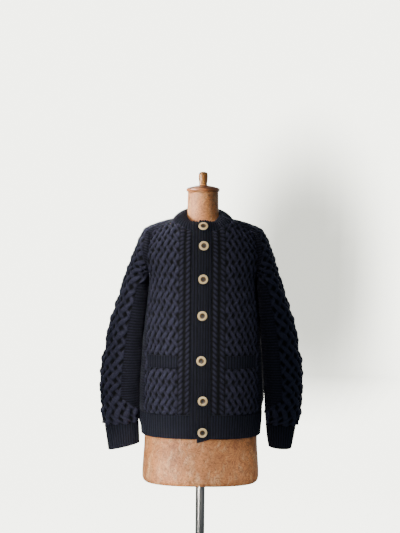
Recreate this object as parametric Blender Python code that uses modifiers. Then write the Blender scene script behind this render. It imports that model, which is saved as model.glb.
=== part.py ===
"""Hand-knitted cable cardigan, buttoned, on a limbless dress form with a pole and a round base.

Units are metres, +Z up, the buttons face -Y. The origin is on the floor under the pole.
Every knitted piece is a wall: a plain inner skin, and an outer skin whose points carry the cables and ribs.
"""

import math

import bmesh
import bpy
import numpy as np
from mathutils import Vector

# ---------------------------------------------------------------- driving sizes
WALL = 0.003             # knitted ground, without its cables
SEAM = 0.0003            # between two pieces that are sewn together
CABLE = 0.0032           # height of rope and lattice strands over the ground
CABLE_LOW = 0.0017       # the strand that dives under its neighbour
RIB = 0.0012             # height of the 1x1 rib over its valleys
RIB_PITCH = 0.0076       # one rib and one valley
NECK_RIB_PITCH = 0.0086  # the same at the neckband's lower edge
POWER = 2.5              # roundness of the body's section, 2 is an ellipse

HEM_Z = 0.8110
WELT_Z = 0.8767          # seam of welt and panel
CHEST_Z = 1.3089         # above this the panels curve in to the shoulder
ARMPIT_ROW = 21          # rows of cable, one crossing each, from the welt up
CHEST_ROW = 24
TOP_ROW = 30
NECK_LANE = 2            # lattice lane at which neckline and shoulder seam meet
TOP_SQUEEZE = 0.965      # width left at the shoulder, of the width at the chest

LATTICE_START = 0.0655   # lanes are distances round the body from its centre line
LATTICE_LANES = 10
LATTICE_PITCH = 0.0092
SIDE_LANES = 3
BAND_EDGE = {"left": 0.0300, "right": 0.0250}
BAND_FREE = {"left": 0.0045, "right": -0.0115}   # free edges, measured to +X
BAND_LIFT = 0.0052       # the over band rides on the under band
BAND_DIP = 0.0095        # its free lower corner hangs below the hem
HEM_ROW = -4
NECK_ROW = 33            # the bands run on through the neckband
POCKET_SEAM_ROW = 7
POCKET_TOP_ROW = 9
POCKET_WALL = 0.0026
BACK_LATTICE = 0.0368    # half width of the lattice down the middle of the back
BACK_LATTICE_STRIPS = 4

NECK_Y = 0.004           # the neck stands a little behind the centre


def table(names, *rows):
    """Columns of a short table, by name."""
    return {name: np.array([row[i] for row in rows], float) for i, name in enumerate(names.split())}


# Body, ground surface: half width, depth in front and behind, and how far the armhole edge
# has moved forward and back.
BODY = table(
    "z side front back hole_front hole_back",
    (0.8046, 0.1650, 0.1180, 0.1120, 0.0, 0.0),
    (0.8337, 0.1680, 0.1200, 0.1140, 0.0, 0.0),
    (0.8767, 0.1705, 0.1225, 0.1160, 0.0, 0.0),
    (0.9354, 0.1712, 0.1240, 0.1150, 0.0, 0.0),
    (0.9838, 0.1690, 0.1230, 0.1120, 0.0, 0.0),
    (1.0806, 0.1625, 0.1190, 0.1060, 0.0, 0.0),
    (1.1630, 0.1548, 0.1170, 0.1040, 0.0, 0.0),
    (1.2170, 0.1500, 0.1165, 0.1070, 0.0, 0.0),
    (1.2550, 0.1495, 0.1160, 0.1100, 0.0, 0.0),
    (1.2730, 0.1500, 0.1145, 0.1115, 0.0480, 0.0500),
    (1.2909, 0.1495, 0.1120, 0.1120, 0.0590, 0.0620),
    (1.3089, 0.1488, 0.1085, 0.1120, 0.0625, 0.0660),
)
# Top edge of a panel from the centre line to the neck point, as a share of that width.
NECKLINE = {
    "front": table(
        "share y z",
        (0.00, -0.0760, 1.3755),
        (0.35, -0.0750, 1.3765),
        (0.55, -0.0712, 1.3812),
        (0.72, -0.0637, 1.3890),
        (0.88, -0.0530, 1.3963),
        (1.00, -0.0440, 1.4012),
    ),
    "back": table(
        "share y z",
        (0.00, 0.0665, 1.4150),
        (0.50, 0.0655, 1.4148),
        (0.80, 0.0595, 1.4132),
        (1.00, 0.0510, 1.4090),
    ),
}
# Top edge of a panel from the neck point to the armhole corner, as a share of that width.
SHOULDER = {
    "front": table("share y z", (0.0, -0.0440, 1.4012), (1.0, -0.0480, 1.3680)),
    "back": table("share y z", (0.0, 0.0510, 1.4090), (1.0, 0.0520, 1.3700)),
}
# Crest of the sleeve from the armpit (share 0) over the shoulder to the neck (share 1),
# and half the sleeve's depth.
CREST = table(
    "share x z depth",
    (0.00, 0.2092, 1.2590, 0.0680),
    (0.17, 0.1988, 1.2860, 0.0700),
    (0.29, 0.1905, 1.3080, 0.0715),
    (0.49, 0.1775, 1.3400, 0.0715),
    (0.66, 0.1650, 1.3700, 0.0640),
    (0.76, 0.1528, 1.3852, 0.0540),
    (0.88, 0.1190, 1.3982, 0.0460),
    (1.00, 0.0820, 1.4112, 0.0440),
)
SHOULDER_OUT = {"left": 0.0, "right": 0.0045}    # the right shoulder hangs a little wider
# Hanging part of each sleeve, from the cuff seam (share 0) to the armpit (share 1):
# outer point, inner point, half depth and how far the sleeve's middle lies in front.
SLEEVE = {
    "left": table(
        "share outer_x outer_z inner_x inner_z depth forward",
        (0.00, 0.2690, 0.8350, 0.1785, 0.8440, 0.0340, 0.012),
        (0.04, 0.2722, 0.8520, 0.1770, 0.8580, 0.0450, 0.012),
        (0.12, 0.2765, 0.8890, 0.1765, 0.8900, 0.0560, 0.011),
        (0.26, 0.2798, 0.9450, 0.1755, 0.9440, 0.0590, 0.009),
        (0.43, 0.2735, 1.0150, 0.1710, 1.0080, 0.0610, 0.006),
        (0.59, 0.2612, 1.0850, 0.1665, 1.0740, 0.0630, 0.003),
        (0.75, 0.2435, 1.1550, 0.1592, 1.1420, 0.0665, 0.001),
        (0.88, 0.2250, 1.2110, 0.1533, 1.2000, 0.0685, 0.000),
        (1.00, 0.2092, 1.2590, 0.1504, 1.2549, 0.0680, 0.000),
    ),
    "right": table(
        "share outer_x outer_z inner_x inner_z depth forward",
        (0.00, 0.2650, 0.8370, 0.1815, 0.8430, 0.0350, 0.016),
        (0.04, 0.2705, 0.8520, 0.1800, 0.8570, 0.0450, 0.016),
        (0.12, 0.2775, 0.8890, 0.1780, 0.8880, 0.0560, 0.014),
        (0.26, 0.2798, 0.9450, 0.1755, 0.9420, 0.0590, 0.011),
        (0.43, 0.2755, 1.0150, 0.1710, 1.0070, 0.0610, 0.007),
        (0.59, 0.2632, 1.0850, 0.1665, 1.0740, 0.0630, 0.004),
        (0.75, 0.2452, 1.1550, 0.1592, 1.1420, 0.0665, 0.002),
        (0.88, 0.2265, 1.2110, 0.1533, 1.2000, 0.0685, 0.000),
        (1.00, 0.2092, 1.2590, 0.1504, 1.2549, 0.0680, 0.000),
    ),
}
CUFF = {
    "left": table(
        "share outer_x outer_z inner_x inner_z depth forward",
        (0.0, 0.2575, 0.7655, 0.1775, 0.7860, 0.0265, 0.013),
        (0.5, 0.2630, 0.8010, 0.1778, 0.8140, 0.0290, 0.013),
        (1.0, 0.2690, 0.8350, 0.1785, 0.8440, 0.0340, 0.012),
    ),
    "right": table(
        "share outer_x outer_z inner_x inner_z depth forward",
        (0.0, 0.2525, 0.7720, 0.1905, 0.7760, 0.0330, 0.020),
        (0.5, 0.2590, 0.8040, 0.1850, 0.8090, 0.0330, 0.018),
        (1.0, 0.2650, 0.8370, 0.1815, 0.8430, 0.0350, 0.016),
    ),
}
SLEEVE_HANG_ROWS = 23
SLEEVE_LATTICE_STRIPS = 16
SLEEVE_LATTICE_REACH = 0.31    # of the way round, each side of the crest
SLEEVE_PLAIN_STRIPS = 3

# Upper edge of the neckband, by turn from the front (0) to the back (1).
NECK_RIM = table(
    "turn z",
    (0.00, 1.4012), (0.18, 1.4040), (0.36, 1.4180), (0.50, 1.4310), (0.70, 1.4400), (1.00, 1.4430),
)
NECK_RIM_X = 0.0458
NECK_RIM_POWER = 2.6
NECK_RIM_FRONT = 0.0505
NECK_RIM_BACK = 0.0520
NECKBAND_BULGE = 0.004

# Height and place across of each button, and its seat's distance from the ribs of the band.
BUTTONS = table(
    "z x seat",
    (1.3863, 0.0017, 0.0001),
    (1.3347, 0.0031, 0.0005),
    (1.2445, 0.0022, 0.0006),
    (1.1475, 0.0008, 0.0006),
    (1.0263, -0.0010, 0.0005),
    (0.9174, 0.0040, 0.0004),
    (0.8307, 0.0040, 0.0006),
)
BUTTON_RADIUS = 0.0132
BUTTON_SIDES = 14
BUTTON_PROFILE = (
    (0.0, 0.0026),
    (0.0066, 0.0027),
    (0.0100, 0.0048),
    (BUTTON_RADIUS, 0.0030),
    (0.0118, 0.0),
    (0.0, 0.0),
)

# Dress form: half width, depth in front and behind of the torso's sections.
FORM = table(
    "z side front back",
    (0.6774, 0.1560, 0.1000, 0.0950),
    (0.6834, 0.1612, 0.1052, 0.1002),
    (0.6934, 0.1632, 0.1070, 0.1020),
    (0.7908, 0.1580, 0.1080, 0.1030),
    (0.9000, 0.1560, 0.1060, 0.0980),
    (1.0500, 0.1280, 0.0900, 0.0820),
    (1.1500, 0.1300, 0.0930, 0.0830),
    (1.2500, 0.1400, 0.1000, 0.0920),
    (1.3200, 0.1400, 0.0860, 0.0900),
    (1.3560, 0.1380, 0.0600, 0.0700),
    (1.3800, 0.1230, 0.0520, 0.0600),
    (1.3930, 0.1030, 0.0430, 0.0530),
    (1.4060, 0.0570, 0.0365, 0.0470),
    (1.4200, 0.0446, 0.0376, 0.0464),
    (1.4500, 0.0434, 0.0378, 0.0458),
    (1.4860, 0.0428, 0.0382, 0.0462),
)
FORM_RINGS = (0.6774, 0.6814, 0.6914, 0.74, 0.80, 0.90, 1.0, 1.10, 1.20, 1.29, 1.34, 1.366, 1.383, 1.396, 1.408,
              1.422, 1.486)
FORM_SIDES = 26
FORM_SQUARE = 2.5              # roundness of the torso's sections up to the chest
FORM_ROUND = 2.0               # and of the neck's
CAP_PROFILE = (
    (0.0, 0.0175),
    (0.0150, 0.0172),
    (0.0310, 0.0140),
    (0.0445, 0.0095),
    (0.0470, 0.0070),
    (0.0455, 0.0),
    (0.0, 0.0),
)
CAP_SIDES = 24
FINIAL_PROFILE = (
    (0.0, 0.0380),
    (0.0065, 0.0368),
    (0.0108, 0.0325),
    (0.0126, 0.0220),
    (0.0118, 0.0100),
    (0.0108, 0.0),
    (0.0, 0.0),
)
FINIAL_SIDES = 16
POLE_RADIUS = 0.0127
POLE_SIDES = 16
HUB_Z = 0.0340
BASE_PROFILE = (
    (0.0, HUB_Z),
    (0.0190, HUB_Z),
    (0.0220, HUB_Z - 0.003),
    (0.0220, 0.0120),
    (0.1700, 0.0100),
    (0.1900, 0.0040),
    (0.1900, 0.0),
    (0.0, 0.0),
)
BASE_SIDES = 32

COLOURS = {
    "navy wool": ((0.020, 0.024, 0.045), 0.95, 0.0),
    "navy rib": ((0.018, 0.021, 0.040), 0.95, 0.0),
    "horn": ((0.560, 0.430, 0.270), 0.35, 0.0),
    "aged papier-mache": ((0.440, 0.255, 0.140), 0.75, 0.0),
    "turned wood": ((0.360, 0.150, 0.060), 0.45, 0.0),
    "steel": ((0.420, 0.420, 0.410), 0.30, 1.0),
    "base": ((0.230, 0.230, 0.225), 0.45, 0.8),
}


# ---------------------------------------------------------------- curves
def smooth(knots, values, at):
    """Cubic through the knots whose slopes never overshoot: the harmonic mean of the neighbouring chords."""
    at = np.clip(np.asarray(at, float), knots[0], knots[-1])
    chord = np.diff(values) / np.diff(knots)
    slope = np.concatenate([chord[:1], np.zeros(len(chord) - 1), chord[-1:]])
    for i in range(1, len(chord)):
        if chord[i - 1] * chord[i] > 0:
            slope[i] = 2 * chord[i - 1] * chord[i] / (chord[i - 1] + chord[i])
    span = np.clip(np.searchsorted(knots, at, side="right") - 1, 0, len(chord) - 1)
    width = knots[span + 1] - knots[span]
    t = (at - knots[span]) / width
    start = values[span] * (2 * t**3 - 3 * t**2 + 1) + slope[span] * width * (t**3 - 2 * t**2 + t)
    return start + values[span + 1] * (3 * t**2 - 2 * t**3) + slope[span + 1] * width * (t**3 - t**2)


def unit(vectors):
    """Vectors of length one."""
    return vectors / np.maximum(np.linalg.norm(vectors, axis=-1, keepdims=True), 1e-12)


def lengths_along(points):
    """Distance of each point along its polyline."""
    return np.concatenate([[0.0], np.cumsum(np.linalg.norm(np.diff(points, axis=0), axis=1))])


def resample(points, at):
    """Points at the given distances along a polyline."""
    along = lengths_along(points)
    return np.stack([np.interp(at, along, points[:, axis]) for axis in range(points.shape[1])], axis=1)


def grid_normals(points):
    """Unit normals of a grid of points, from its differences along rows and columns."""
    return unit(np.cross(np.gradient(points, axis=1), np.gradient(points, axis=0)))


# ---------------------------------------------------------------- body panels
def half_ring(z, face):
    """Half section of the body at one height, as a polyline from the centre line to its side edge."""
    depth = smooth(BODY["z"], BODY[face], z)
    side = smooth(BODY["z"], BODY["side"], z)
    forward = float(smooth(BODY["z"], BODY["hole_" + face], z)) / depth
    reach = side / (1 - forward**POWER) ** (1 / POWER)
    turn = np.linspace(0, math.acos(forward ** (POWER / 2)), 161)
    x = reach * np.sin(turn) ** (2 / POWER)
    y = depth * np.cos(turn) ** (2 / POWER) * (-1 if face == "front" else 1)
    return np.stack([x, y, np.full_like(x, z)], axis=1)


def body_row(face, row, lanes):
    """Points of one horizontal row, up to the chest, at the given lanes and then to the side edge."""
    rise = (CHEST_Z - WELT_Z) / CHEST_ROW if row > 0 else (HEM_Z - WELT_Z) / HEM_ROW
    ring = half_ring(WELT_Z + rise * row, face)
    total = lengths_along(ring)[-1] - SEAM / 2
    spread = np.linspace(lanes[-1], total, SIDE_LANES + 1)[1:]
    return resample(ring, np.concatenate([lanes, spread]))


def shoulder_curve(face, chest, below, lanes):
    """For each lane, where it ends at the neckline or shoulder seam, and the slopes at both ends."""
    corner = int(np.argmin(abs(lanes - lattice_lane(NECK_LANE))))
    x = chest[:, 0] * TOP_SQUEEZE
    neck = np.clip(x / x[corner], 0, 1)
    arm = np.clip((x - x[corner]) / (x[-1] - x[corner]), 0, 1)
    over = x > x[corner]
    line, seam = NECKLINE[face], SHOULDER[face]
    y = np.where(over, smooth(seam["share"], seam["y"], arm), smooth(line["share"], line["y"], neck))
    z = np.where(over, smooth(seam["share"], seam["z"], arm), smooth(line["share"], line["z"], neck))
    top = np.stack([x, y, z], axis=1)
    rise = np.linalg.norm(top - chest, axis=1, keepdims=True)
    lean = unit(np.array([0.0, -0.78 if face == "back" else 0.78, 0.62]))
    return top, unit(chest - below) * rise, lean * rise


def body_grid(face, lanes, rows):
    """Ground points of a half panel, for +X: one line of points for each row, which may be fractional."""
    chest = body_row(face, CHEST_ROW, lanes)
    below = body_row(face, CHEST_ROW - 0.25, lanes)
    top, start, end = shoulder_curve(face, chest, below, lanes)
    points = []
    for row in rows:
        if row <= CHEST_ROW:
            points.append(body_row(face, row, lanes))
            continue
        t = (row - CHEST_ROW) / (TOP_ROW - CHEST_ROW)
        line = chest * (2 * t**3 - 3 * t**2 + 1) + start * (t**3 - 2 * t**2 + t)
        points.append(line + top * (3 * t**2 - 2 * t**3) + end * (t**3 - t**2))
    return np.array(points)


def lattice_lane(number):
    """Distance round the body of one lane of the lattice."""
    return LATTICE_START + LATTICE_PITCH * number


def rope_lanes(start):
    """Two ropes between the given distance and the lattice: crest, crest, valley, crest, crest."""
    step = (LATTICE_START - start) / 6
    return [start + step * i for i in (0.95, 2.05, 3.0, 3.95, 5.05)]


def mirrored(points):
    """The same points on the -X side."""
    return points * np.array([-1.0, 1.0, 1.0])


# ---------------------------------------------------------------- walls
class Wall:
    """A knitted wall as a mesh: its skins are laid lane by lane, also where row counts differ."""

    def __init__(self):
        self.points = []
        self.faces = []
        self.height = []

    def lane(self, points, height=None):
        """Adds one line of points and gives their numbers."""
        first = len(self.points)
        self.points.extend(np.asarray(points, float))
        self.height.extend([0.0] * len(points) if height is None else height)
        return list(range(first, first + len(points)))

    def zip(self, left, right, left_at, right_at):
        """Triangles between two lines of points, each placed along the line by its own share."""
        i = j = 0
        while i < len(left) - 1 or j < len(right) - 1:
            go_left = j == len(right) - 1
            if i < len(left) - 1 and j < len(right) - 1:
                ahead = left_at[i + 1] - right_at[j + 1]
                up_left = self.height[left[i + 1]] + self.height[right[j]]
                up_right = self.height[left[i]] + self.height[right[j + 1]]
                go_left = ahead < -1e-9 or (abs(ahead) <= 1e-9 and up_left > up_right)
            third = left[i + 1] if go_left else right[j + 1]
            corners = (left[i], right[j], third)
            if len(set(corners)) == 3:
                self.faces.append(corners)
            i, j = (i + 1, j) if go_left else (i, j + 1)

    def skin(self, lanes, shares):
        """A surface through neighbouring lanes."""
        for k in range(len(lanes) - 1):
            self.zip(lanes[k], lanes[k + 1], shares[k], shares[k + 1])

    def rim(self, outer, inner):
        """The edge of the wall between a line of outer points and a line of inner points."""
        def shares(line):
            along = lengths_along(np.array([self.points[n] for n in line]))
            return along / along[-1]
        self.zip(outer, inner, shares(outer), shares(inner))

    def to_object(self, name, colour):
        """The wall as one closed mesh object."""
        mesh = bpy.data.meshes.new(name)
        mesh.from_pydata([tuple(p) for p in self.points], [], self.faces)
        build = bmesh.new()
        build.from_mesh(mesh)
        bmesh.ops.recalc_face_normals(build, faces=build.faces)
        if build.calc_volume(signed=True) < 0:
            bmesh.ops.reverse_faces(build, faces=build.faces)
        build.to_mesh(mesh)
        build.free()
        mesh.shade_smooth()
        mesh.set_sharp_from_angle(angle=math.radians(50))
        return add_object(name, mesh, colour)


def open_wall(name, colour, outer_lanes, outer_shares, heights, inner):
    """A wall with four edges, from outer lanes and an inner grid of rows and lanes."""
    wall = Wall()
    outer = [wall.lane(points, height) for points, height in zip(outer_lanes, heights)]
    wall.skin(outer, outer_shares)
    plain = [wall.lane(inner[:, k]) for k in range(inner.shape[1])]
    wall.skin(plain, [np.linspace(0, 1, inner.shape[0])] * inner.shape[1])
    wall.rim(outer[0], plain[0])
    wall.rim(outer[-1], plain[-1])
    wall.rim([lane[0] for lane in outer], [lane[0] for lane in plain])
    wall.rim([lane[-1] for lane in outer], [lane[-1] for lane in plain])
    return wall.to_object(name, colour)


def tube_wall(name, colour, outer, heights, inner):
    """A wall that closes on itself, from an outer grid and an inner grid of rows and lanes."""
    wall = Wall()
    rings = [[wall.lane(grid[:, k], None if h is None else h[:, k]) for k in range(grid.shape[1])]
             for grid, h in ((outer, heights), (inner, None))]
    for lanes in rings:
        lanes.append(lanes[0])
        wall.skin(lanes, [np.linspace(0, 1, len(lanes[0]))] * len(lanes))
    for end in (0, -1):
        wall.rim([lane[end] for lane in rings[0]], [lane[end] for lane in rings[1]])
    return wall.to_object(name, colour)


# ---------------------------------------------------------------- relief
def rope_height(row, strand):
    """Height of one strand of a rope at a half row: the two strands pass over each other in turn."""
    return CABLE if (int(round(row * 2)) + strand) % 2 == 0 else CABLE_LOW


def lattice_height(row, lane):
    """Height of the plaited lattice: raised where row and lane are both even or both odd."""
    return CABLE if (int(round(row)) + lane) % 2 == 0 else 0.0


def panel_lanes(start, centre_lanes=0):
    """Lanes of a half panel as (distance, kind, number): edge or centre lattice, two ropes, lattice."""
    lanes = []
    if centre_lanes:
        pitch = start / centre_lanes
        lanes += [(pitch * i, "lattice", i) for i in range(centre_lanes + 1)]
    else:
        lanes += [(start, "edge", 0)]
    kinds = ("strand", "strand", "valley", "strand", "strand")
    lanes += [(at, kind, i) for i, (at, kind) in enumerate(zip(rope_lanes(start), kinds))]
    lanes += [(lattice_lane(i), "lattice", i) for i in range(LATTICE_LANES + 1)]
    return lanes


def lane_rows(kind):
    """Ropes need two points for each row of the lattice; plain stretches need one for two."""
    if kind in ("strand", "valley"):
        return np.arange(0, TOP_ROW + 0.25, 0.5)
    if kind == "lattice":
        return np.arange(0, TOP_ROW + 1.0)
    return np.concatenate([np.arange(0, ARMPIT_ROW, 3.0), np.arange(ARMPIT_ROW, TOP_ROW + 1.0)])


def lane_heights(kind, number, rows, pocket):
    """Height over the ground of each point of a lane; nothing is raised at a seam or under a pocket."""
    heights = np.zeros(len(rows))
    for i, row in enumerate(rows):
        covered = pocket and kind == "lattice" and row <= POCKET_TOP_ROW
        if row in (0, TOP_ROW) or covered:
            continue
        if kind == "strand":
            heights[i] = rope_height(row, number)
        if kind == "lattice":
            heights[i] = lattice_height(row, number)
    return heights


def half_panel(face, start, centre_lanes, pocket):
    """Outer lanes, their shares and heights, and the inner grid of a half panel for +X."""
    lanes = panel_lanes(start, centre_lanes)
    at = np.array([lane[0] for lane in lanes])
    rows = np.arange(0, TOP_ROW + 0.25, 0.5)
    ground = body_grid(face, at, rows)
    normal = grid_normals(ground) * (-1 if face == "back" else 1)
    normal[rows <= ARMPIT_ROW, -1] = (1.0, 0.0, 0.0)
    kinds = [lane[1:] for lane in lanes] + [("side", i) for i in range(SIDE_LANES)]
    outer, shares, heights = [], [], []
    for k, (kind, number) in enumerate(kinds):
        own = lane_rows(kind)
        pick = (own * 2).astype(int)
        lift = lane_heights(kind, number, own, pocket)
        outer.append(ground[pick, k] + normal[pick, k] * lift[:, None])
        shares.append(own / TOP_ROW)
        heights.append(lift)
    inner_rows = np.array([0, 7, 14, 21, 22, 23, 24, 26, 28, 30]) * 2
    corner = int(np.argmin(abs(at - lattice_lane(NECK_LANE))))
    inner_lanes = {0, len(kinds) - 1} | set(range(corner, 0, -3 if centre_lanes else -2))
    inner_lanes |= set(range(corner + 3, len(kinds) - 2, 3))
    pick = np.ix_(inner_rows, sorted(inner_lanes))
    return outer, shares, heights, ground[pick] - normal[pick] * WALL


# ---------------------------------------------------------------- materials and objects
def material(name):
    """A named surface with its colour, roughness and metallic value."""
    if name in bpy.data.materials:
        return bpy.data.materials[name]
    colour, rough, metal = COLOURS[name]
    made = bpy.data.materials.new(name)
    made.use_nodes = True
    shader = made.node_tree.nodes["Principled BSDF"]
    shader.inputs["Base Color"].default_value = (*colour, 1)
    shader.inputs["Roughness"].default_value = rough
    shader.inputs["Metallic"].default_value = metal
    return made


def add_object(name, mesh, colour):
    """Links a mesh to the cardigan's collection as a named object."""
    made = bpy.data.objects.new(name, mesh)
    mesh.materials.append(material(colour))
    COLLECTION.objects.link(made)
    return made


# ---------------------------------------------------------------- body nodes
def make_front(side):
    """One front panel, from its band to the side seam and armhole."""
    outer, shares, heights, inner = half_panel("front", BAND_EDGE[side], 0, True)
    if side == "left":
        outer = [mirrored(lane) for lane in outer]
        inner = mirrored(inner)
    open_wall("front_" + side, "navy wool", outer, shares, heights, inner)


def make_back():
    """The back panel: two mirrored halves that share the centre lane."""
    outer, shares, heights, inner = half_panel("back", BACK_LATTICE, BACK_LATTICE_STRIPS, False)
    other = [mirrored(lane) for lane in outer[:0:-1]]
    inner = np.concatenate([mirrored(inner)[:, :0:-1], inner], axis=1)
    open_wall("back", "navy wool", other + outer, shares[:0:-1] + shares, heights[:0:-1] + heights, inner)


def make_welt(name, face, halves):
    """A ribbed hem welt below a panel; each half is (side, distance at which it starts)."""
    edges = []
    for side, start in halves:
        rings = []
        for z in (HEM_Z, WELT_Z - SEAM):
            ring = half_ring(z, face)
            reach = lengths_along(ring)[-1] - SEAM / 2
            count = int(round((reach - start) / RIB_PITCH)) * 2
            rings.append(resample(ring, np.linspace(start, reach, count + 1 - count % 2)))
        fewest = min(len(ring) for ring in rings)
        grid = np.array([ring[np.linspace(0, len(ring) - 1, fewest).round().astype(int)] for ring in rings])
        edges.append(mirrored(grid) if side == "left" else grid)
    points = edges[0] if len(edges) == 1 else np.concatenate([edges[0][:, :0:-1], edges[1]], axis=1)
    away = points * np.array([1.0, 1.0, 0.0])
    ribs = np.where(np.arange(points.shape[1]) % 2 == 1, RIB, 0.0)
    ground = points - unit(away) * RIB
    outer = ground + unit(away) * ribs[None, :, None]
    pick = np.unique(np.linspace(0, points.shape[1] - 1, 4 + points.shape[1] // 9).round().astype(int))
    inner = ground[:, pick] - unit(away)[:, pick] * WALL
    columns = range(points.shape[1])
    open_wall(name, "navy rib", [outer[:, k] for k in columns], [np.array([0.0, 1.0])] * points.shape[1],
              [[ribs[k]] * 2 for k in columns], inner)


# ---------------------------------------------------------------- sleeves
def section(crest, front, back, depth, shares):
    """Part of an ellipse from the front edge over the crest to the back edge, at shares of its length."""
    middle = (front + back) / 2
    half = np.linalg.norm(front - back) / 2
    depth = max(depth, half * 1.02)
    opening = math.asin(half / depth)
    out = unit(crest - middle)
    reach = np.linalg.norm(crest - middle) / (1 + math.cos(opening))
    centre = middle + out * reach * math.cos(opening)
    ahead = unit(front - back) if half > 1e-6 else np.array([0.0, -1.0, 0.0])
    turn = np.linspace(opening, 2 * math.pi - opening, 241)[:, None]
    arc = centre - out * reach * np.cos(turn) + ahead * depth * np.sin(turn)
    return resample(arc, lengths_along(arc)[-1] * shares)


def hanging_section(sizes, share, shares):
    """A closed section of the sleeve or cuff: both edges meet at the inner point."""
    at = {name: float(smooth(sizes["share"], sizes[name], share)) for name in sizes}
    inner = np.array([at["inner_x"], -at["forward"], at["inner_z"]])
    crest = np.array([at["outer_x"], -at["forward"], at["outer_z"]])
    return section(crest, inner, inner, at["depth"], shares)


def way_out(edge, normal, outside):
    """For each point of an edge, the way out of its piece, square to the edge and in the cloth."""
    out = unit(np.cross(np.gradient(edge, axis=0), normal))
    return out * np.sign(np.sum(out * outside, axis=1, keepdims=True))


def armhole_edge(face):
    """Edge points of a half panel that the sleeve is sewn to, armpit to neck, and their way out."""
    lanes = np.array([0.030] + [lattice_lane(i) for i in range(LATTICE_LANES + 1)])
    grid = body_grid(face, lanes, np.arange(ARMPIT_ROW, TOP_ROW + 1.0))
    top_lanes = [1 + lane for lane in (8, 6, 4, NECK_LANE)]
    points = np.concatenate([grid[:, -1], grid[-1, top_lanes]])
    outside = np.concatenate([grid[:, -1] - grid[:, -2], grid[-1, top_lanes] - grid[-2, top_lanes]])
    normal = grid_normals(grid)
    normal = np.concatenate([normal[:, -1], normal[-1, top_lanes]])
    return points, way_out(points, normal, outside)


def sleeve_grid(side, shares):
    """Ground points of a sleeve for +X: the closed rows up to the armpit, then rows from edge to edge."""
    rows = [hanging_section(SLEEVE[side], row / SLEEVE_HANG_ROWS, shares) for row in range(SLEEVE_HANG_ROWS)]
    front, front_out = armhole_edge("front")
    back, back_out = armhole_edge("back")
    front, back = front + front_out * SEAM * 2.5, back + back_out * SEAM * 2.5
    climb = lengths_along(front)
    inner = np.array([SLEEVE[side]["inner_x"][-1], 0.0, SLEEVE[side]["inner_z"][-1]])
    front[0] = back[0] = inner
    for i, share in enumerate(climb / climb[-1]):
        at = {name: float(smooth(CREST["share"], CREST[name], share)) for name in CREST}
        x = at["x"] + SHOULDER_OUT[side] * math.sin(math.pi * share)
        crest = np.array([x, (front[i, 1] + back[i, 1]) / 2, at["z"]])
        rows.append(section(crest, front[i], back[i], at["depth"], shares))
    return np.array(rows), front_out, back_out


def clear_of(normal, way_out):
    """Edge normals with the part removed that would lean the wall into its neighbour."""
    lean = np.sum(normal * way_out, axis=-1, keepdims=True)
    return unit(normal - np.maximum(lean, 0) * way_out)


def upward(ring):
    """The way up along a sleeve or cuff, square to one of its sections."""
    return unit(np.cross(ring[len(ring) // 2] - ring[0], np.array([0.0, 1.0, 0.0])))


def make_sleeve(side):
    """A sleeve with its saddle strap: a tube up to the armpit, open from edge to edge above."""
    plain = 0.5 - SLEEVE_LATTICE_REACH
    shares = np.concatenate([
        np.linspace(0, plain, SLEEVE_PLAIN_STRIPS + 1)[:-1],
        np.linspace(plain, 1 - plain, SLEEVE_LATTICE_STRIPS + 1),
        np.linspace(1 - plain, 1, SLEEVE_PLAIN_STRIPS + 1)[1:],
    ])
    ground, front_out, back_out = sleeve_grid(side, shares)
    normal = grid_normals(ground)
    armpit = SLEEVE_HANG_ROWS
    normal[0] = clear_of(normal[0], upward(ground[0]))
    normal[: armpit + 1, [0, -1]] = (-1.0, 0.0, 0.0)
    normal[armpit + 1:, 0] = clear_of(normal[armpit + 1:, 0], front_out[1:])
    normal[armpit + 1:, -1] = clear_of(normal[armpit + 1:, -1], back_out[1:])
    row, lane = np.indices(ground.shape[:2])
    inside = (lane > SLEEVE_PLAIN_STRIPS) & (lane < SLEEVE_PLAIN_STRIPS + SLEEVE_LATTICE_STRIPS)
    inside &= (row > 0) & (row < ground.shape[0] - 1)
    heights = np.where(inside & ((row + lane) % 2 == 0), CABLE, 0.0)
    outer = ground + normal * heights[..., None]
    if side == "left":
        outer, ground, normal = mirrored(outer), mirrored(ground), mirrored(normal)
    count, last = ground.shape[0], ground.shape[1] - 1
    every = np.arange(count)
    fewer = np.concatenate([np.arange(0, armpit, 2), every[armpit:]])
    inner_rows = np.concatenate([[0, 1], np.arange(5, armpit, 4), every[armpit:]])
    inner_lanes = np.unique(np.linspace(0, last, 11).round().astype(int))
    wall = Wall()
    edges = []
    for points, lanes in ((outer, range(last + 1)), (ground - normal * WALL, inner_lanes)):
        skin, shares = [], []
        for lane in lanes:
            rows = every
            if points is not outer:
                rows = inner_rows
            elif min(lane, last - lane) < SLEEVE_PLAIN_STRIPS:
                rows = fewer
            low, high = rows[rows <= armpit], rows[rows > armpit]
            lift = heights[:, lane] if points is outer else np.zeros(count)
            below = skin[0][:len(low)] if lane == last else wall.lane(points[low, lane], lift[low].tolist())
            skin.append(below + wall.lane(points[high, lane], lift[high].tolist()))
            shares.append(rows / (count - 1))
        wall.skin(skin, shares)
        edges.append([skin[0][-len(high) - 1:], skin[-1][-len(high) - 1:],
                      [line[0] for line in skin], [line[-1] for line in skin]])
    for outer_edge, inner_edge in zip(*edges):
        wall.rim(outer_edge, inner_edge)
    wall.to_object("sleeve_" + side, "navy wool")


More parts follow.
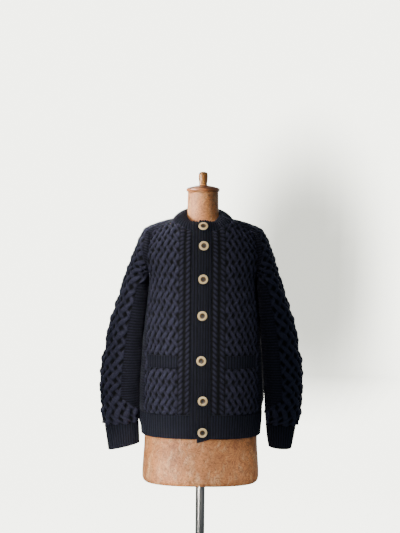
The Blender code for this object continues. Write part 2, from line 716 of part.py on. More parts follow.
def make_cuff(side):
    """A ribbed cuff, a flattened tube that hangs from the sleeve's lower edge."""
    girth = lengths_along(hanging_section(CUFF[side], 0.5, np.linspace(0, 1, 73)))[-1]
    ribs = int(round(girth / RIB_PITCH))
    shares = np.linspace(0, 1, 2 * ribs + 1)[:-1]
    drop = SEAM / 0.06
    grid = np.array([hanging_section(CUFF[side], share, shares) for share in (0.0, 1.0 - drop)])
    closed = np.concatenate([grid[:, -1:], grid, grid[:, :1]], axis=1)
    normal = unit(np.cross(closed[:, 2:] - closed[:, :-2], (grid[1] - grid[0])[None]))
    centre = grid.mean(axis=1, keepdims=True)
    normal *= np.sign(np.sum(normal * (grid - centre), axis=-1, keepdims=True))
    normal[1] = clear_of(normal[1], -upward(grid[1]))
    lift = np.where(np.arange(2 * ribs) % 2 == 0, RIB, 0.0)
    ground = grid - normal * RIB
    outer = ground + normal * lift[None, :, None]
    pick = np.arange(0, 2 * ribs, 4)
    inner = ground[:, pick] - normal[:, pick] * WALL
    if side == "left":
        outer, inner = mirrored(outer), mirrored(inner)
    tube_wall("cuff_" + side, "navy rib", outer, np.repeat(lift[None], 2, axis=0), inner)


# ---------------------------------------------------------------- neckband and button bands
def neck_rim(turn):
    """A point of the neckband's upper edge; turn runs from the front (0) over the +X side to the back (1)."""
    turn = np.asarray(turn, float)
    depth = np.where(turn < 0.5, NECK_RIM_FRONT, NECK_RIM_BACK)
    across, ahead = np.sin(turn * math.pi), np.cos(turn * math.pi)
    x = NECK_RIM_X * abs(across) ** (2 / NECK_RIM_POWER)
    y = NECK_Y - depth * np.sign(ahead) * abs(ahead) ** (2 / NECK_RIM_POWER)
    return np.stack([x, y, smooth(NECK_RIM["turn"], NECK_RIM["z"], turn)], axis=-1)


def neck_turn(x):
    """Turn of the front point of the neckband's upper edge that has the given x."""
    return np.arcsin((np.abs(x) / NECK_RIM_X) ** (NECK_RIM_POWER / 2)) / math.pi


def neck_seam(side):
    """Lower edge of the neckband for +X, from the band to the centre back, and its way on."""
    strap, _, _ = sleeve_grid(side, np.linspace(0, 1, 13))
    pieces = [(strap[-1, 1:-1], grid_normals(strap)[-1, 1:-1], (strap[-1] - strap[-2])[1:-1])]
    for face, start in (("front", BAND_EDGE[side]), ("back", 0.0)):
        lattice = [lattice_lane(i) for i in range(LATTICE_LANES + 1)]
        lanes = np.array([start] + rope_lanes(max(start, 0.025)) + lattice)
        grid = body_grid(face, lanes, [TOP_ROW - 1, TOP_ROW])[:, : 6 + NECK_LANE + 1]
        piece = (grid[1], grid_normals(grid)[1], grid[1] - grid[0])
        if face == "front":
            pieces.insert(0, piece)
        else:
            pieces.append(tuple(part[::-1] for part in piece))
    points, normal, outside = (np.concatenate([piece[i] for piece in pieces]) for i in range(3))
    return points, way_out(points, normal, outside)


def band_roll(lower, upper, share):
    """A ribbed strip between two lines of points, bulging a little outward."""
    bulge = NECKBAND_BULGE * 4 * share * (1 - share)
    away = (lower - np.array([0.0, NECK_Y, 0.0])) * np.array([1.0, 1.0, 0.0])
    return lower * (1 - share) + upper * share + (unit(away) * 0.6 + np.array([0.0, 0.0, 0.8])) * bulge


def make_neckband():
    """The ribbed neckband, from one button band round the neck to the other."""
    halves = []
    for side in ("left", "right"):
        seam, onward = neck_seam(side)
        along = lengths_along(seam)
        count = int(round(along[-1] / NECK_RIB_PITCH)) * 2
        at = np.linspace(0, along[-1], count + 1)
        raised = seam + onward * SEAM * 2
        lower = resample(raised, lengths_along(raised)[-1] * at / at[-1])
        way = unit(np.stack([np.interp(at, along, onward[:, axis]) for axis in range(3)], axis=1))
        begin = float(neck_turn(seam[0, 0]))
        upper = neck_rim(np.linspace(begin, 1.0, count + 1))
        flip = np.array([-1.0, 1.0, 1.0]) if side == "left" else np.ones(3)
        halves.append((lower * flip, upper * flip, way * flip))
    lower, upper, way = (np.concatenate([halves[0][i], halves[1][i][-2::-1]]) for i in range(3))
    grid = np.array([band_roll(lower, upper, share) for share in (0.0, 0.5, 1.0)])
    normal = grid_normals(grid)
    normal *= np.sign(np.sum(normal * (grid - np.array([0.0, NECK_Y, 1.36])), axis=-1, keepdims=True))
    normal[0] = clear_of(normal[0], way)
    ribs = np.where(np.arange(grid.shape[1]) % 2 == 1, RIB, 0.0)
    ribs[[0, -1]] = 0
    ground = grid - normal * RIB
    outer = ground + normal * ribs[None, :, None]
    pick = np.unique(np.linspace(0, grid.shape[1] - 1, 45).round().astype(int))
    inner = ground[:, pick] - normal[:, pick] * WALL
    columns = range(grid.shape[1])
    open_wall("neckband", "navy rib", [outer[:, k] for k in columns], [np.linspace(0, 1, 3)] * grid.shape[1],
              [[ribs[k]] * 3 for k in columns], inner)


def centre_grid(x, rows):
    """Ground points of the front near its centre line, up through the neckband, at signed lanes and rows."""
    lanes = np.concatenate([np.linspace(0, 0.034, 6), [lattice_lane(i) for i in range(LATTICE_LANES + 1)]])
    low = [row for row in rows if row <= TOP_ROW]
    grid = body_grid("front", lanes, low)[:, :6]
    for row in rows[len(low):]:
        upper = neck_rim(neck_turn(grid[len(low) - 1, :, 0]))
        share = (row - TOP_ROW) / (NECK_ROW - TOP_ROW)
        grid = np.concatenate([grid, band_roll(grid[len(low) - 1], upper, share)[None]])
    across = abs(x)
    columns = [[np.interp(across, lanes[:6], line[:, axis]) for line in grid] for axis in range(3)]
    points = np.stack([np.array(column) for column in columns], axis=-1)
    points[..., 0] *= np.where(x < 0, -1, 1)
    return points


def band_lift(x):
    """How far the over band stands off the fronts at x: it comes down to its seam at the right front."""
    share = np.clip((BAND_EDGE["right"] - x) / (BAND_EDGE["right"] - 0.0068), 0, 1)
    return BAND_LIFT * share * share * (3 - 2 * share)


BAND_ROWS = [-4, -2, 0, 3, 6, 9, 12, 15, 18, 21, 23, 25, 26.5, 28, 29, 30, 31.5, 33]


def make_band(name, x, over):
    """A button band with upright ribs, from the hem to the top of the neckband."""
    ground = centre_grid(x, BAND_ROWS)
    normal = grid_normals(ground)
    normal *= -np.sign(normal[..., 1:2])
    ribs = np.where(np.arange(len(x)) % 2 == 1, RIB, 0.0)
    ribs[[0, -1]] = 0
    if over:
        ground += normal * band_lift(x)[None, :, None]
        width = BAND_EDGE["right"] - BAND_FREE["right"]
        ground[0, :, 2] -= BAND_DIP * np.clip((BAND_EDGE["right"] - x) / width, 0, 1)
    outer = ground + normal * ribs[None, :, None]
    pick = np.unique(np.linspace(0, len(x) - 1, 4).round().astype(int))
    inner = ground[:, pick] - normal[:, pick] * WALL
    columns = range(len(x))
    open_wall(name, "navy rib", [outer[:, k] for k in columns], [np.linspace(0, 1, len(BAND_ROWS))] * len(x),
              [[ribs[k]] * len(BAND_ROWS) for k in columns], inner)


# ---------------------------------------------------------------- pockets
def pocket_ground(rows):
    """Ground points and normals of the front panel under a pocket, for +X."""
    lanes = np.array([0.030] + [lattice_lane(i) for i in range(LATTICE_LANES + 1)])
    grid = body_grid("front", lanes, rows)
    return grid[:, 1:LATTICE_LANES + 2], grid_normals(grid)[:, 1:LATTICE_LANES + 2]


def make_pocket(side):
    """A patch pocket of lattice, lying on its front panel, made from the panel's points moved out."""
    rows = np.concatenate([[0.06], np.arange(1, POCKET_SEAM_ROW + 0.0), [POCKET_SEAM_ROW - 0.01]])
    ground, normal = pocket_ground(rows)
    row, lane = np.indices(ground.shape[:2])
    edge = (row == 0) | (row == len(rows) - 1) | (lane == 0) | (lane == LATTICE_LANES)
    heights = np.where(~edge & ((row + lane) % 2 == 0), CABLE, 0.0)
    inner = ground + normal * SEAM * 1.3
    outer = inner + normal * (POCKET_WALL + heights[..., None])
    add_patch("pocket_" + side, "navy wool", side, outer, heights, inner)


def make_pocket_top(side):
    """The ribbed strip along the mouth of a pocket."""
    rows = [POCKET_SEAM_ROW + 0.01, POCKET_TOP_ROW - 0.05]
    ground, normal = pocket_ground(rows)
    inner = ground + normal * SEAM * 1.3
    width = lengths_along(ground[0])[-1]
    count = int(round(width / RIB_PITCH)) * 2
    face = inner + normal * POCKET_WALL
    outer = np.array([resample(line, np.linspace(0, lengths_along(line)[-1], count + 1)) for line in face])
    ribs = np.where(np.arange(count + 1) % 2 == 1, RIB, 0.0)
    raised = face + normal * RIB
    out = np.array([resample(line, np.linspace(0, lengths_along(line)[-1], count + 1)) for line in raised])
    outer = outer + unit(out - outer) * ribs[None, :, None]
    add_patch("pocket_top_" + side, "navy rib", side, outer, np.repeat(ribs[None], 2, axis=0), inner)


def add_patch(name, colour, side, outer, heights, inner):
    """A flat wall from an outer and an inner grid, mirrored for the left."""
    if side == "left":
        outer, inner = mirrored(outer), mirrored(inner)
    lanes = [outer[:, k] for k in range(outer.shape[1])]
    shares = [np.linspace(0, 1, outer.shape[0])] * outer.shape[1]
    open_wall(name, colour, lanes, shares, [heights[:, k].tolist() for k in range(outer.shape[1])], inner)


# ---------------------------------------------------------------- buttons and dress form
def turned(name, colour, profile, sides):
    """A turned piece: its profile of (radius, height), from the top down its outer side, carried round +Z."""
    mesh = bpy.data.meshes.new(name)
    edges = [(i, i + 1) for i in range(len(profile) - 1)]
    mesh.from_pydata([(radius, 0.0, z) for radius, z in profile], edges, [])
    made = add_object(name, mesh, colour)
    screw = made.modifiers.new("Turned", "SCREW")
    screw.steps = sides
    screw.render_steps = sides
    screw.use_merge_vertices = True
    screw.merge_threshold = 0.00001
    return made


def make_buttons():
    """Seven buttons with a raised rim and a dished centre, lying on the over band."""
    rows = np.arange(HEM_ROW, NECK_ROW + 0.25, 0.25)
    beside = 0.004
    for number, (z, x, seat) in enumerate(zip(BUTTONS["z"], BUTTONS["x"], BUTTONS["seat"]), 1):
        ground = centre_grid(np.array([x - beside, x, x + beside]), rows)
        normal = grid_normals(ground)
        normal *= -np.sign(normal[..., 1:2])
        row = int(np.argmin(abs(ground[:, 1, 2] - z)))
        out = unit(normal[row - 2:row + 3, 1].mean(axis=0))
        button = turned("button_%d" % number, "horn", BUTTON_PROFILE, BUTTON_SIDES)
        button.location = Vector(ground[row, 1] + out * (band_lift(x) + RIB + seat))
        button.rotation_mode = "QUATERNION"
        button.rotation_quaternion = Vector((0, 0, 1)).rotation_difference(Vector(out))


def make_torso():
    """The limbless torso with its neck, as a loft of rounded sections."""
    turn = 2 * math.pi * (np.arange(FORM_SIDES) + 0.5) / FORM_SIDES
    across, along = np.cos(turn), np.sin(turn)
    points, faces = [], []
    for z in FORM_RINGS:
        side, front, back = (float(smooth(FORM["z"], FORM[name], z)) for name in ("side", "front", "back"))
        share = min(max((1.40 - z) / 0.10, 0.0), 1.0)
        power = FORM_ROUND + (FORM_SQUARE - FORM_ROUND) * share
        x = side * np.sign(across) * abs(across) ** (2 / power)
        y = np.where(along > 0, back, front) * np.sign(along) * abs(along) ** (2 / power)
        points += np.stack([x, y, np.full_like(x, z)], axis=1).tolist()
    for ring in range(len(FORM_RINGS) - 1):
        for i in range(FORM_SIDES):
            low, high = ring * FORM_SIDES, (ring + 1) * FORM_SIDES
            j = (i + 1) % FORM_SIDES
            faces.append((low + i, low + j, high + j, high + i))
    faces.append(tuple(range(FORM_SIDES))[::-1])
    faces.append(tuple(range(len(points) - FORM_SIDES, len(points))))
    mesh = bpy.data.meshes.new("form_torso")
    mesh.from_pydata(points, [], faces)
    mesh.shade_smooth()
    mesh.set_sharp_from_angle(angle=math.radians(40))
    add_object("form_torso", mesh, "aged papier-mache")


def make_pole():
    """The straight pole from the base's hub to the underside of the torso."""
    foot, top = HUB_Z + SEAM, FORM_RINGS[0] - SEAM
    bpy.ops.mesh.primitive_cylinder_add(vertices=POLE_SIDES, radius=POLE_RADIUS, depth=top - foot)
    pole = bpy.context.object
    pole.name = pole.data.name = "form_pole"
    pole.location.z = (foot + top) / 2
    pole.data.shade_smooth()
    pole.data.set_sharp_from_angle(angle=math.radians(40))
    pole.data.materials.append(material("steel"))
    for holder in pole.users_collection:
        holder.objects.unlink(pole)
    COLLECTION.objects.link(pole)


def make_form():
    """The dress form: torso, neck cap, finial, pole and base."""
    make_torso()
    cap = turned("form_cap", "turned wood", CAP_PROFILE, CAP_SIDES)
    cap.location = (0, NECK_Y, FORM_RINGS[-1] + SEAM)
    finial = turned("form_finial", "turned wood", FINIAL_PROFILE, FINIAL_SIDES)
    finial.location = (0, NECK_Y, FORM_RINGS[-1] + SEAM + CAP_PROFILE[0][1] + SEAM)
    make_pole()
    turned("form_base", "base", BASE_PROFILE, BASE_SIDES)


for old in list(bpy.data.objects):
    bpy.data.objects.remove(old, do_unlink=True)
COLLECTION = bpy.data.collections.new("cardigan_on_form")
bpy.context.scene.collection.children.link(COLLECTION)

for side_name in ("left", "right"):
    make_front(side_name)
    make_sleeve(side_name)
    make_cuff(side_name)
    make_welt("welt_front_" + side_name, "front", [(side_name, BAND_EDGE[side_name])])
    make_pocket(side_name)
    make_pocket_top(side_name)
make_back()
make_welt("welt_back", "back", [("left", 0.0), ("right", 0.0)])
make_neckband()
under_x = np.concatenate([np.linspace(-BAND_EDGE["left"] + 2 * SEAM, -0.0145, 5), [BAND_FREE["left"]]])
over_x = np.linspace(BAND_FREE["right"], BAND_EDGE["right"] - 2 * SEAM, 11)
make_band("band_under", under_x, False)
make_band("band_over", over_x, True)
make_buttons()
make_form()
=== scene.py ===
"""Navy aran cardigan with patch pockets, buttoned on an antique limbless dress form.

Units are metres, +Z up, and the buttons face -Y. The forms repeat the solids' own sizes, at a fine step:
a knitted piece is a grid of points on its ground surface, and its outer skin is that ground moved out
by the height of the cables, ribs and ridges at each point.
"""
import math

import bpy
import numpy as np
from mathutils import Matrix, Vector


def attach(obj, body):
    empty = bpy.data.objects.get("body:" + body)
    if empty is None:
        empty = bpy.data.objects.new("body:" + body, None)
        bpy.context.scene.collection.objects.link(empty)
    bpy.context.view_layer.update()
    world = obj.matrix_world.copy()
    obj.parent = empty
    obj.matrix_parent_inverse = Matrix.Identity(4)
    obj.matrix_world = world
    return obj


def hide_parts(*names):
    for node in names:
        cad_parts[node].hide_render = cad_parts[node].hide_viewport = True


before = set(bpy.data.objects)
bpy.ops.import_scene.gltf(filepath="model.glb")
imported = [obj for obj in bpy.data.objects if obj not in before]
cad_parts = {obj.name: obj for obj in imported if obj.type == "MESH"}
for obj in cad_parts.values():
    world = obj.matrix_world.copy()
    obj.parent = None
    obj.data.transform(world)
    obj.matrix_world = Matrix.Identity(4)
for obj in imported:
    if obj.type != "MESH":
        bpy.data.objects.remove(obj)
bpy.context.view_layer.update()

# ---------------------------------------------------------------- driving sizes
WALL = 0.003                   # knitted ground, without its cables
SEAM = 0.0003                  # between two pieces that are sewn together
TUCK = 0.0010                  # a sewn edge goes this far under its neighbour
FINE = 0.0017                  # spacing of a fine grid's points
RIB_STEP = 0.0012              # and across ribs
SIDE_ROUND = 0.0006            # radius of a panel's sewn side edge
END_ROUND = 0.0008             # and of its ends
JOIN_ROUND = 0.0012            # of an edge that ribs are sewn to
RIM_ROUND = 0.0022             # of a free ribbed edge
INNER_EVERY = 6                # the plain inner skin keeps one row and one lane in so many
POWER = 2.5                    # roundness of the body's section, 2 is an ellipse

HEM_Z = 0.8110
WELT_Z = 0.8767                # seam of welt and panel
CHEST_Z = 1.3089               # above this the panels curve in to the shoulder
ARMPIT_ROW = 21                # rows of cable, one crossing each, from the welt up
CHEST_ROW = 24
TOP_ROW = 30
HEM_ROW = -4
NECK_ROW = 33                  # the bands run on through the neckband
ROW = (CHEST_Z - WELT_Z) / CHEST_ROW
TOP_SQUEEZE = 0.965            # width left at the shoulder, of the width at the chest
NECK_Y = 0.004                 # the neck stands a little behind the centre

LATTICE_START = 0.0655         # lanes are distances round the body from its centre line
LATTICE_PITCH = 0.0092
LATTICE_LANES = 10
LATTICE_END = LATTICE_START + LATTICE_PITCH * LATTICE_LANES
NECK_CORNER = LATTICE_START + LATTICE_PITCH * 2
SIDE_LANES = 44
LATTICE_REACH = 11.3           # the panels' lattice goes on past the pocket's edge, in lanes
BAND_EDGE = {"left": 0.0300, "right": 0.0250}
BAND_FREE = {"left": 0.0045, "right": -0.0115}   # free edges, measured to +X
BAND_LIFT = 0.0052             # the over band rides on the under band
BAND_LIFTED = 0.0068           # from its free edge as far as this x
BAND_DIP = 0.0095              # its free lower corner hangs below the hem
CENTRE_LANES = 18              # fine lanes beside the front's centre line, under the bands
CENTRE_REACH = 0.034
BACK_LATTICE = 0.0368          # half width of the lattice down the middle of the back
POCKET_SEAM_ROW = 7
POCKET_TOP_ROW = 9
POCKET_WALL = 0.0026
POCKET_GAP = 0.0004            # between a pocket and its front
POCKET_FULL = 0.0022           # a pocket's middle stands off the front
RIB_WALL = WALL + 0.001        # welts and cuffs are thicker
BAND_WALL = WALL + 0.0006

STRAND = 0.0042                # height of a lattice or rope strand over the ground
STRAND_LEAD = 1.30             # strands that lean towards the buttons on their way up stand out more
STRAND_OVER = 0.0015           # how far the upper strand rides at a crossing, and the lower one dives
STRAND_REACH = 0.56            # half width of a strand, of one lane
LEAD_REACH = 0.70              # and of the strands that stand out more
ROPE_PERIOD = 0.0146           # from one crossing of a rope to the next
ROPE_SLANT = 0.46
ROPE = 0.0050                  # height of a rope
RIB_PITCH = 0.0076
NECK_RIB_PITCH = 0.0086
RIB = 0.0019
RIDGE_PITCH = 0.0076           # ridges of reverse stocking stitch
RIDGE = 0.0009
SIDE_FOLD = 0.0085             # the back stands out in a soft fold behind each side seam
SIDE_FOLD_AT = 0.028
SIDE_FOLD_WIDTH = 0.014
SIDE_FOLD_END = {"left": 0.815, "right": 0.875}
SLEEVE_LANE = 0.0128
SLEEVE_GIRTH = 0.37            # about, for the spacing of the lanes
CUFF_GIRTH = 0.22
CUFF_HEIGHT = 0.07
HALF_WELT = 0.2
NECKBAND_HEIGHT = 0.033
SLEEVE_LATTICE_REACH = 0.272   # of the way round, each side of the crest
SLEEVE_HANG_ROWS = 23


def table(names, *rows):
    """Columns of a short table, by name."""
    return {name: np.array([row[i] for row in rows], float) for i, name in enumerate(names.split())}


# Body, ground surface: half width, depth in front and behind, and how far the armhole edge
# has moved forward and back.
BODY = table(
    "z side front back hole_front hole_back",
    (0.8046, 0.1650, 0.1180, 0.1120, 0.0, 0.0),
    (0.8337, 0.1680, 0.1200, 0.1140, 0.0, 0.0),
    (0.8767, 0.1705, 0.1225, 0.1160, 0.0, 0.0),
    (0.9354, 0.1712, 0.1240, 0.1150, 0.0, 0.0),
    (0.9838, 0.1690, 0.1230, 0.1120, 0.0, 0.0),
    (1.0806, 0.1625, 0.1190, 0.1060, 0.0, 0.0),
    (1.1630, 0.1548, 0.1170, 0.1040, 0.0, 0.0),
    (1.2170, 0.1500, 0.1165, 0.1070, 0.0, 0.0),
    (1.2550, 0.1495, 0.1160, 0.1100, 0.0, 0.0),
    (1.2730, 0.1500, 0.1145, 0.1115, 0.0480, 0.0500),
    (1.2909, 0.1495, 0.1120, 0.1120, 0.0590, 0.0620),
    (1.3089, 0.1488, 0.1085, 0.1120, 0.0625, 0.0660),
)
# Top edge of a panel from the centre line to the neck point, as a share of that width.
NECKLINE = {
    "front": table(
        "share y z",
        (0.00, -0.0760, 1.3755),
        (0.35, -0.0750, 1.3765),
        (0.55, -0.0712, 1.3812),
        (0.72, -0.0637, 1.3890),
        (0.88, -0.0530, 1.3963),
        (1.00, -0.0440, 1.4012),
    ),
    "back": table(
        "share y z",
        (0.00, 0.0665, 1.4150),
        (0.50, 0.0655, 1.4148),
        (0.80, 0.0595, 1.4132),
        (1.00, 0.0510, 1.4090),
    ),
}
# Top edge of a panel from the neck point to the armhole corner, as a share of that width.
SHOULDER = {
    "front": table("share y z", (0.0, -0.0440, 1.4012), (1.0, -0.0480, 1.3680)),
    "back": table("share y z", (0.0, 0.0510, 1.4090), (1.0, 0.0520, 1.3700)),
}
# Crest of the sleeve from the armpit (share 0) over the shoulder to the neck (share 1),
# and half the sleeve's depth.
CREST = table(
    "share x z depth",
    (0.00, 0.2092, 1.2590, 0.0680),
    (0.17, 0.1988, 1.2860, 0.0700),
    (0.29, 0.1905, 1.3080, 0.0715),
    (0.49, 0.1775, 1.3400, 0.0715),
    (0.66, 0.1650, 1.3700, 0.0640),
    (0.76, 0.1528, 1.3852, 0.0540),
    (0.88, 0.1190, 1.3982, 0.0460),
    (1.00, 0.0820, 1.4112, 0.0440),
)
SHOULDER_OUT = {"left": 0.0, "right": 0.0045}    # the right shoulder hangs a little wider
# Hanging part of each sleeve, from the cuff seam (share 0) to the armpit (share 1), and below it
# each cuff: outer point, inner point, half depth and how far the middle lies in front.
HANGING = "share outer_x outer_z inner_x inner_z depth forward"
SLEEVE = {
    "left": table(
        HANGING,
        (0.00, 0.2690, 0.8350, 0.1748, 0.8440, 0.0340, 0.012),
        (0.04, 0.2722, 0.8520, 0.1742, 0.8580, 0.0450, 0.012),
        (0.12, 0.2765, 0.8890, 0.1745, 0.8900, 0.0560, 0.011),
        (0.26, 0.2798, 0.9450, 0.1738, 0.9440, 0.0590, 0.009),
        (0.43, 0.2735, 1.0150, 0.1700, 1.0080, 0.0610, 0.006),
        (0.59, 0.2612, 1.0850, 0.1665, 1.0740, 0.0630, 0.003),
        (0.75, 0.2435, 1.1550, 0.1592, 1.1420, 0.0665, 0.001),
        (0.88, 0.2250, 1.2110, 0.1533, 1.2000, 0.0685, 0.000),
        (1.00, 0.2092, 1.2590, 0.1504, 1.2549, 0.0680, 0.000),
    ),
    "right": table(
        HANGING,
        (0.00, 0.2650, 0.8370, 0.1815, 0.8430, 0.0350, 0.016),
        (0.04, 0.2705, 0.8520, 0.1800, 0.8570, 0.0450, 0.016),
        (0.12, 0.2775, 0.8890, 0.1780, 0.8880, 0.0560, 0.014),
        (0.26, 0.2798, 0.9450, 0.1755, 0.9420, 0.0590, 0.011),
        (0.43, 0.2755, 1.0150, 0.1710, 1.0070, 0.0610, 0.007),
        (0.59, 0.2632, 1.0850, 0.1665, 1.0740, 0.0630, 0.004),
        (0.75, 0.2452, 1.1550, 0.1592, 1.1420, 0.0665, 0.002),
        (0.88, 0.2265, 1.2110, 0.1533, 1.2000, 0.0685, 0.000),
        (1.00, 0.2092, 1.2590, 0.1504, 1.2549, 0.0680, 0.000),
    ),
}
CUFF = {
    "left": table(
        HANGING,
        (0.0, 0.2575, 0.7620, 0.1720, 0.7825, 0.0265, 0.013),
        (0.5, 0.2630, 0.7990, 0.1732, 0.8120, 0.0290, 0.013),
        (1.0, 0.2690, 0.8350, 0.1748, 0.8440, 0.0340, 0.012),
    ),
    "right": table(
        HANGING,
        (0.0, 0.2525, 0.7720, 0.1905, 0.7760, 0.0330, 0.020),
        (0.5, 0.2590, 0.8040, 0.1850, 0.8090, 0.0330, 0.018),
        (1.0, 0.2650, 0.8370, 0.1815, 0.8430, 0.0350, 0.016),
    ),
}
# Upper edge of the neckband, by turn from the front (0) to the back (1).
NECK_RIM = table(
    "turn z",
    (0.00, 1.4012), (0.18, 1.4040), (0.36, 1.4180), (0.50, 1.4310), (0.70, 1.4400), (1.00, 1.4430),
)
NECK_RIM_X = 0.0458            # half width, then roundness and depth in front and behind
NECK_RIM_POWER = 2.6
NECK_RIM_FRONT = 0.0505
NECK_RIM_BACK = 0.0520
NECKBAND_BULGE = 0.004

# Height and place across of each button, and its seat's distance from the ribs of the band.
BUTTONS = table(
    "z x seat",
    (1.3833, 0.0012, 0.0003),
    (1.3347, 0.0031, 0.0005),
    (1.2445, 0.0022, 0.0006),
    (1.1475, 0.0008, 0.0006),
    (1.0263, -0.0010, 0.0005),
    (0.9174, 0.0040, 0.0004),
    (0.8307, 0.0040, 0.0006),
)
# Dress form: half width, depth in front and behind of the torso's sections.
FORM = table(
    "z side front back",
    (0.6774, 0.1560, 0.1000, 0.0950),
    (0.6834, 0.1612, 0.1052, 0.1002),
    (0.6934, 0.1632, 0.1070, 0.1020),
    (0.7908, 0.1580, 0.1080, 0.1030),
    (0.9000, 0.1560, 0.1060, 0.0980),
    (1.0500, 0.1280, 0.0900, 0.0820),
    (1.1500, 0.1300, 0.0930, 0.0830),
    (1.2500, 0.1400, 0.1000, 0.0920),
    (1.3200, 0.1400, 0.0860, 0.0900),
    (1.3560, 0.1380, 0.0600, 0.0700),
    (1.3800, 0.1230, 0.0520, 0.0600),
    (1.3930, 0.1030, 0.0430, 0.0530),
    (1.4060, 0.0570, 0.0365, 0.0470),
    (1.4200, 0.0446, 0.0376, 0.0464),
    (1.4500, 0.0434, 0.0378, 0.0458),
    (1.4860, 0.0428, 0.0382, 0.0462),
)
FORM_FOOT = 0.6774
FORM_TOP = 1.4860
HUB_Z = 0.0340
POLE_RADIUS = 0.0127
CAP_TOP = 0.0175
BACKDROP_GLOW = 5.6
SHADE_AT = (1.15, 0.95)        # soft shade on the wall, to the right of the form
SHADE_SIZE = (0.75, 1.35)
SHADE_DEPTH = 0.74


# ---------------------------------------------------------------- curves and surfaces
def smooth(knots, values, at):
    """Cubic through the knots whose slopes never overshoot: the harmonic mean of the neighbouring chords."""
    at = np.clip(np.asarray(at, float), knots[0], knots[-1])
    chord = np.diff(values) / np.diff(knots)
    product = chord[:-1] * chord[1:]
    total = np.where(product > 0, chord[:-1] + chord[1:], 1.0)
    slope = np.concatenate([chord[:1], np.where(product > 0, 2 * product / total, 0.0), chord[-1:]])
    span = np.clip(np.searchsorted(knots, at, side="right") - 1, 0, len(chord) - 1)
    width = knots[span + 1] - knots[span]
    t = (at - knots[span]) / width
    start = values[span] * (2 * t**3 - 3 * t**2 + 1) + slope[span] * width * (t**3 - 2 * t**2 + t)
    return start + values[span + 1] * (3 * t**2 - 2 * t**3) + slope[span + 1] * width * (t**3 - t**2)


def ease(share):
    """Smooth step: 3 s^2 - 2 s^3 of a share held between 0 and 1."""
    share = np.clip(share, 0, 1)
    return share * share * (3 - 2 * share)


def unit(vectors):
    """Vectors of length one."""
    return vectors / np.maximum(np.linalg.norm(vectors, axis=-1, keepdims=True), 1e-12)


def lengths_along(points):
    """Distance of each point along its polyline."""
    return np.concatenate([[0.0], np.cumsum(np.linalg.norm(np.diff(points, axis=0), axis=1))])


def resample(points, at):
    """Points at the given distances along a polyline."""
    along = lengths_along(points)
    return np.stack([np.interp(at, along, points[:, axis]) for axis in range(points.shape[1])], axis=1)


def grid_normals(points):
    """Unit normals of a grid of points, from its differences along rows and columns."""
    return unit(np.cross(np.gradient(points, axis=1), np.gradient(points, axis=0)))


def grid_lengths(points):
    """For each point of a grid, its distance across from column 0 and along from row 0."""
    across = np.linalg.norm(np.diff(points, axis=1), axis=2).cumsum(axis=1)
    along = np.linalg.norm(np.diff(points, axis=0), axis=2).cumsum(axis=0)
    return np.pad(across, ((0, 0), (1, 0))), np.pad(along, ((1, 0), (0, 0)))


def steps(start, end, spacing=FINE):
    """Evenly spaced values from start to end, about the given spacing apart."""
    return np.linspace(start, end, max(2, int(round(abs(end - start) / spacing)) + 1))


def mirrored(points):
    """The same points on the -X side."""
    return points * np.array([-1.0, 1.0, 1.0])


# ---------------------------------------------------------------- body ground
def half_ring(z, face):
    """Half section of the body at one height: x = a sin(t)^(2/p), y = b cos(t)^(2/p), from centre to side edge."""
    depth = smooth(BODY["z"], BODY[face], z)
    side = smooth(BODY["z"], BODY["side"], z)
    forward = float(smooth(BODY["z"], BODY["hole_" + face], z)) / depth
    reach = side / (1 - forward**POWER) ** (1 / POWER)
    turn = np.linspace(0, math.acos(forward ** (POWER / 2)), 241)
    x = reach * np.sin(turn) ** (2 / POWER)
    y = depth * np.cos(turn) ** (2 / POWER) * (-1 if face == "front" else 1)
    return np.stack([x, y, np.full_like(x, z)], axis=1)


def body_row(face, row, lanes):
    """One horizontal row of the body at the given lanes, and then evenly on to the side edge."""
    rise = ROW if row > 0 else (HEM_Z - WELT_Z) / HEM_ROW
    ring = half_ring(WELT_Z + rise * row, face)
    spread = np.linspace(lanes[-1], lengths_along(ring)[-1], SIDE_LANES + 1)[1:]
    return resample(ring, np.concatenate([lanes, spread]))


def shoulder_curve(face, chest, below, lanes):
    """For each lane, where it ends at the neckline or shoulder seam, and the slopes at both ends."""
    corner = int(np.argmin(abs(lanes - NECK_CORNER)))
    x = chest[:, 0] * TOP_SQUEEZE
    neck = np.clip(x / x[corner], 0, 1)
    arm = np.clip((x - x[corner]) / (x[-1] - x[corner]), 0, 1)
    over = x > x[corner]
    line, seam = NECKLINE[face], SHOULDER[face]
    y = np.where(over, smooth(seam["share"], seam["y"], arm), smooth(line["share"], line["y"], neck))
    z = np.where(over, smooth(seam["share"], seam["z"], arm), smooth(line["share"], line["z"], neck))
    top = np.stack([x, y, z], axis=1)
    rise = np.linalg.norm(top - chest, axis=1, keepdims=True)
    lean = unit(np.array([0.0, -0.78 if face == "back" else 0.78, 0.62]))
    return top, unit(chest - below) * rise, lean * rise


def body_grid(face, lanes, rows):
    """Ground of a half panel for +X: section curves up to the chest, then cubic (Hermite) lines to the top edge."""
    rows = np.asarray(rows, float)
    low = np.array([body_row(face, row, lanes) for row in rows[rows <= CHEST_ROW]])
    if not (rows > CHEST_ROW).any():
        return low
    chest = body_row(face, CHEST_ROW, lanes)
    top, start, end = shoulder_curve(face, chest, body_row(face, CHEST_ROW - 0.25, lanes), lanes)
    t = ((rows[rows > CHEST_ROW] - CHEST_ROW) / (TOP_ROW - CHEST_ROW))[:, None, None]
    high = chest * (2 * t**3 - 3 * t**2 + 1) + start * (t**3 - 2 * t**2 + t)
    high = high + top * (3 * t**2 - 2 * t**3) + end * (t**3 - t**2)
    return np.concatenate([low.reshape(-1, *chest.shape), high])


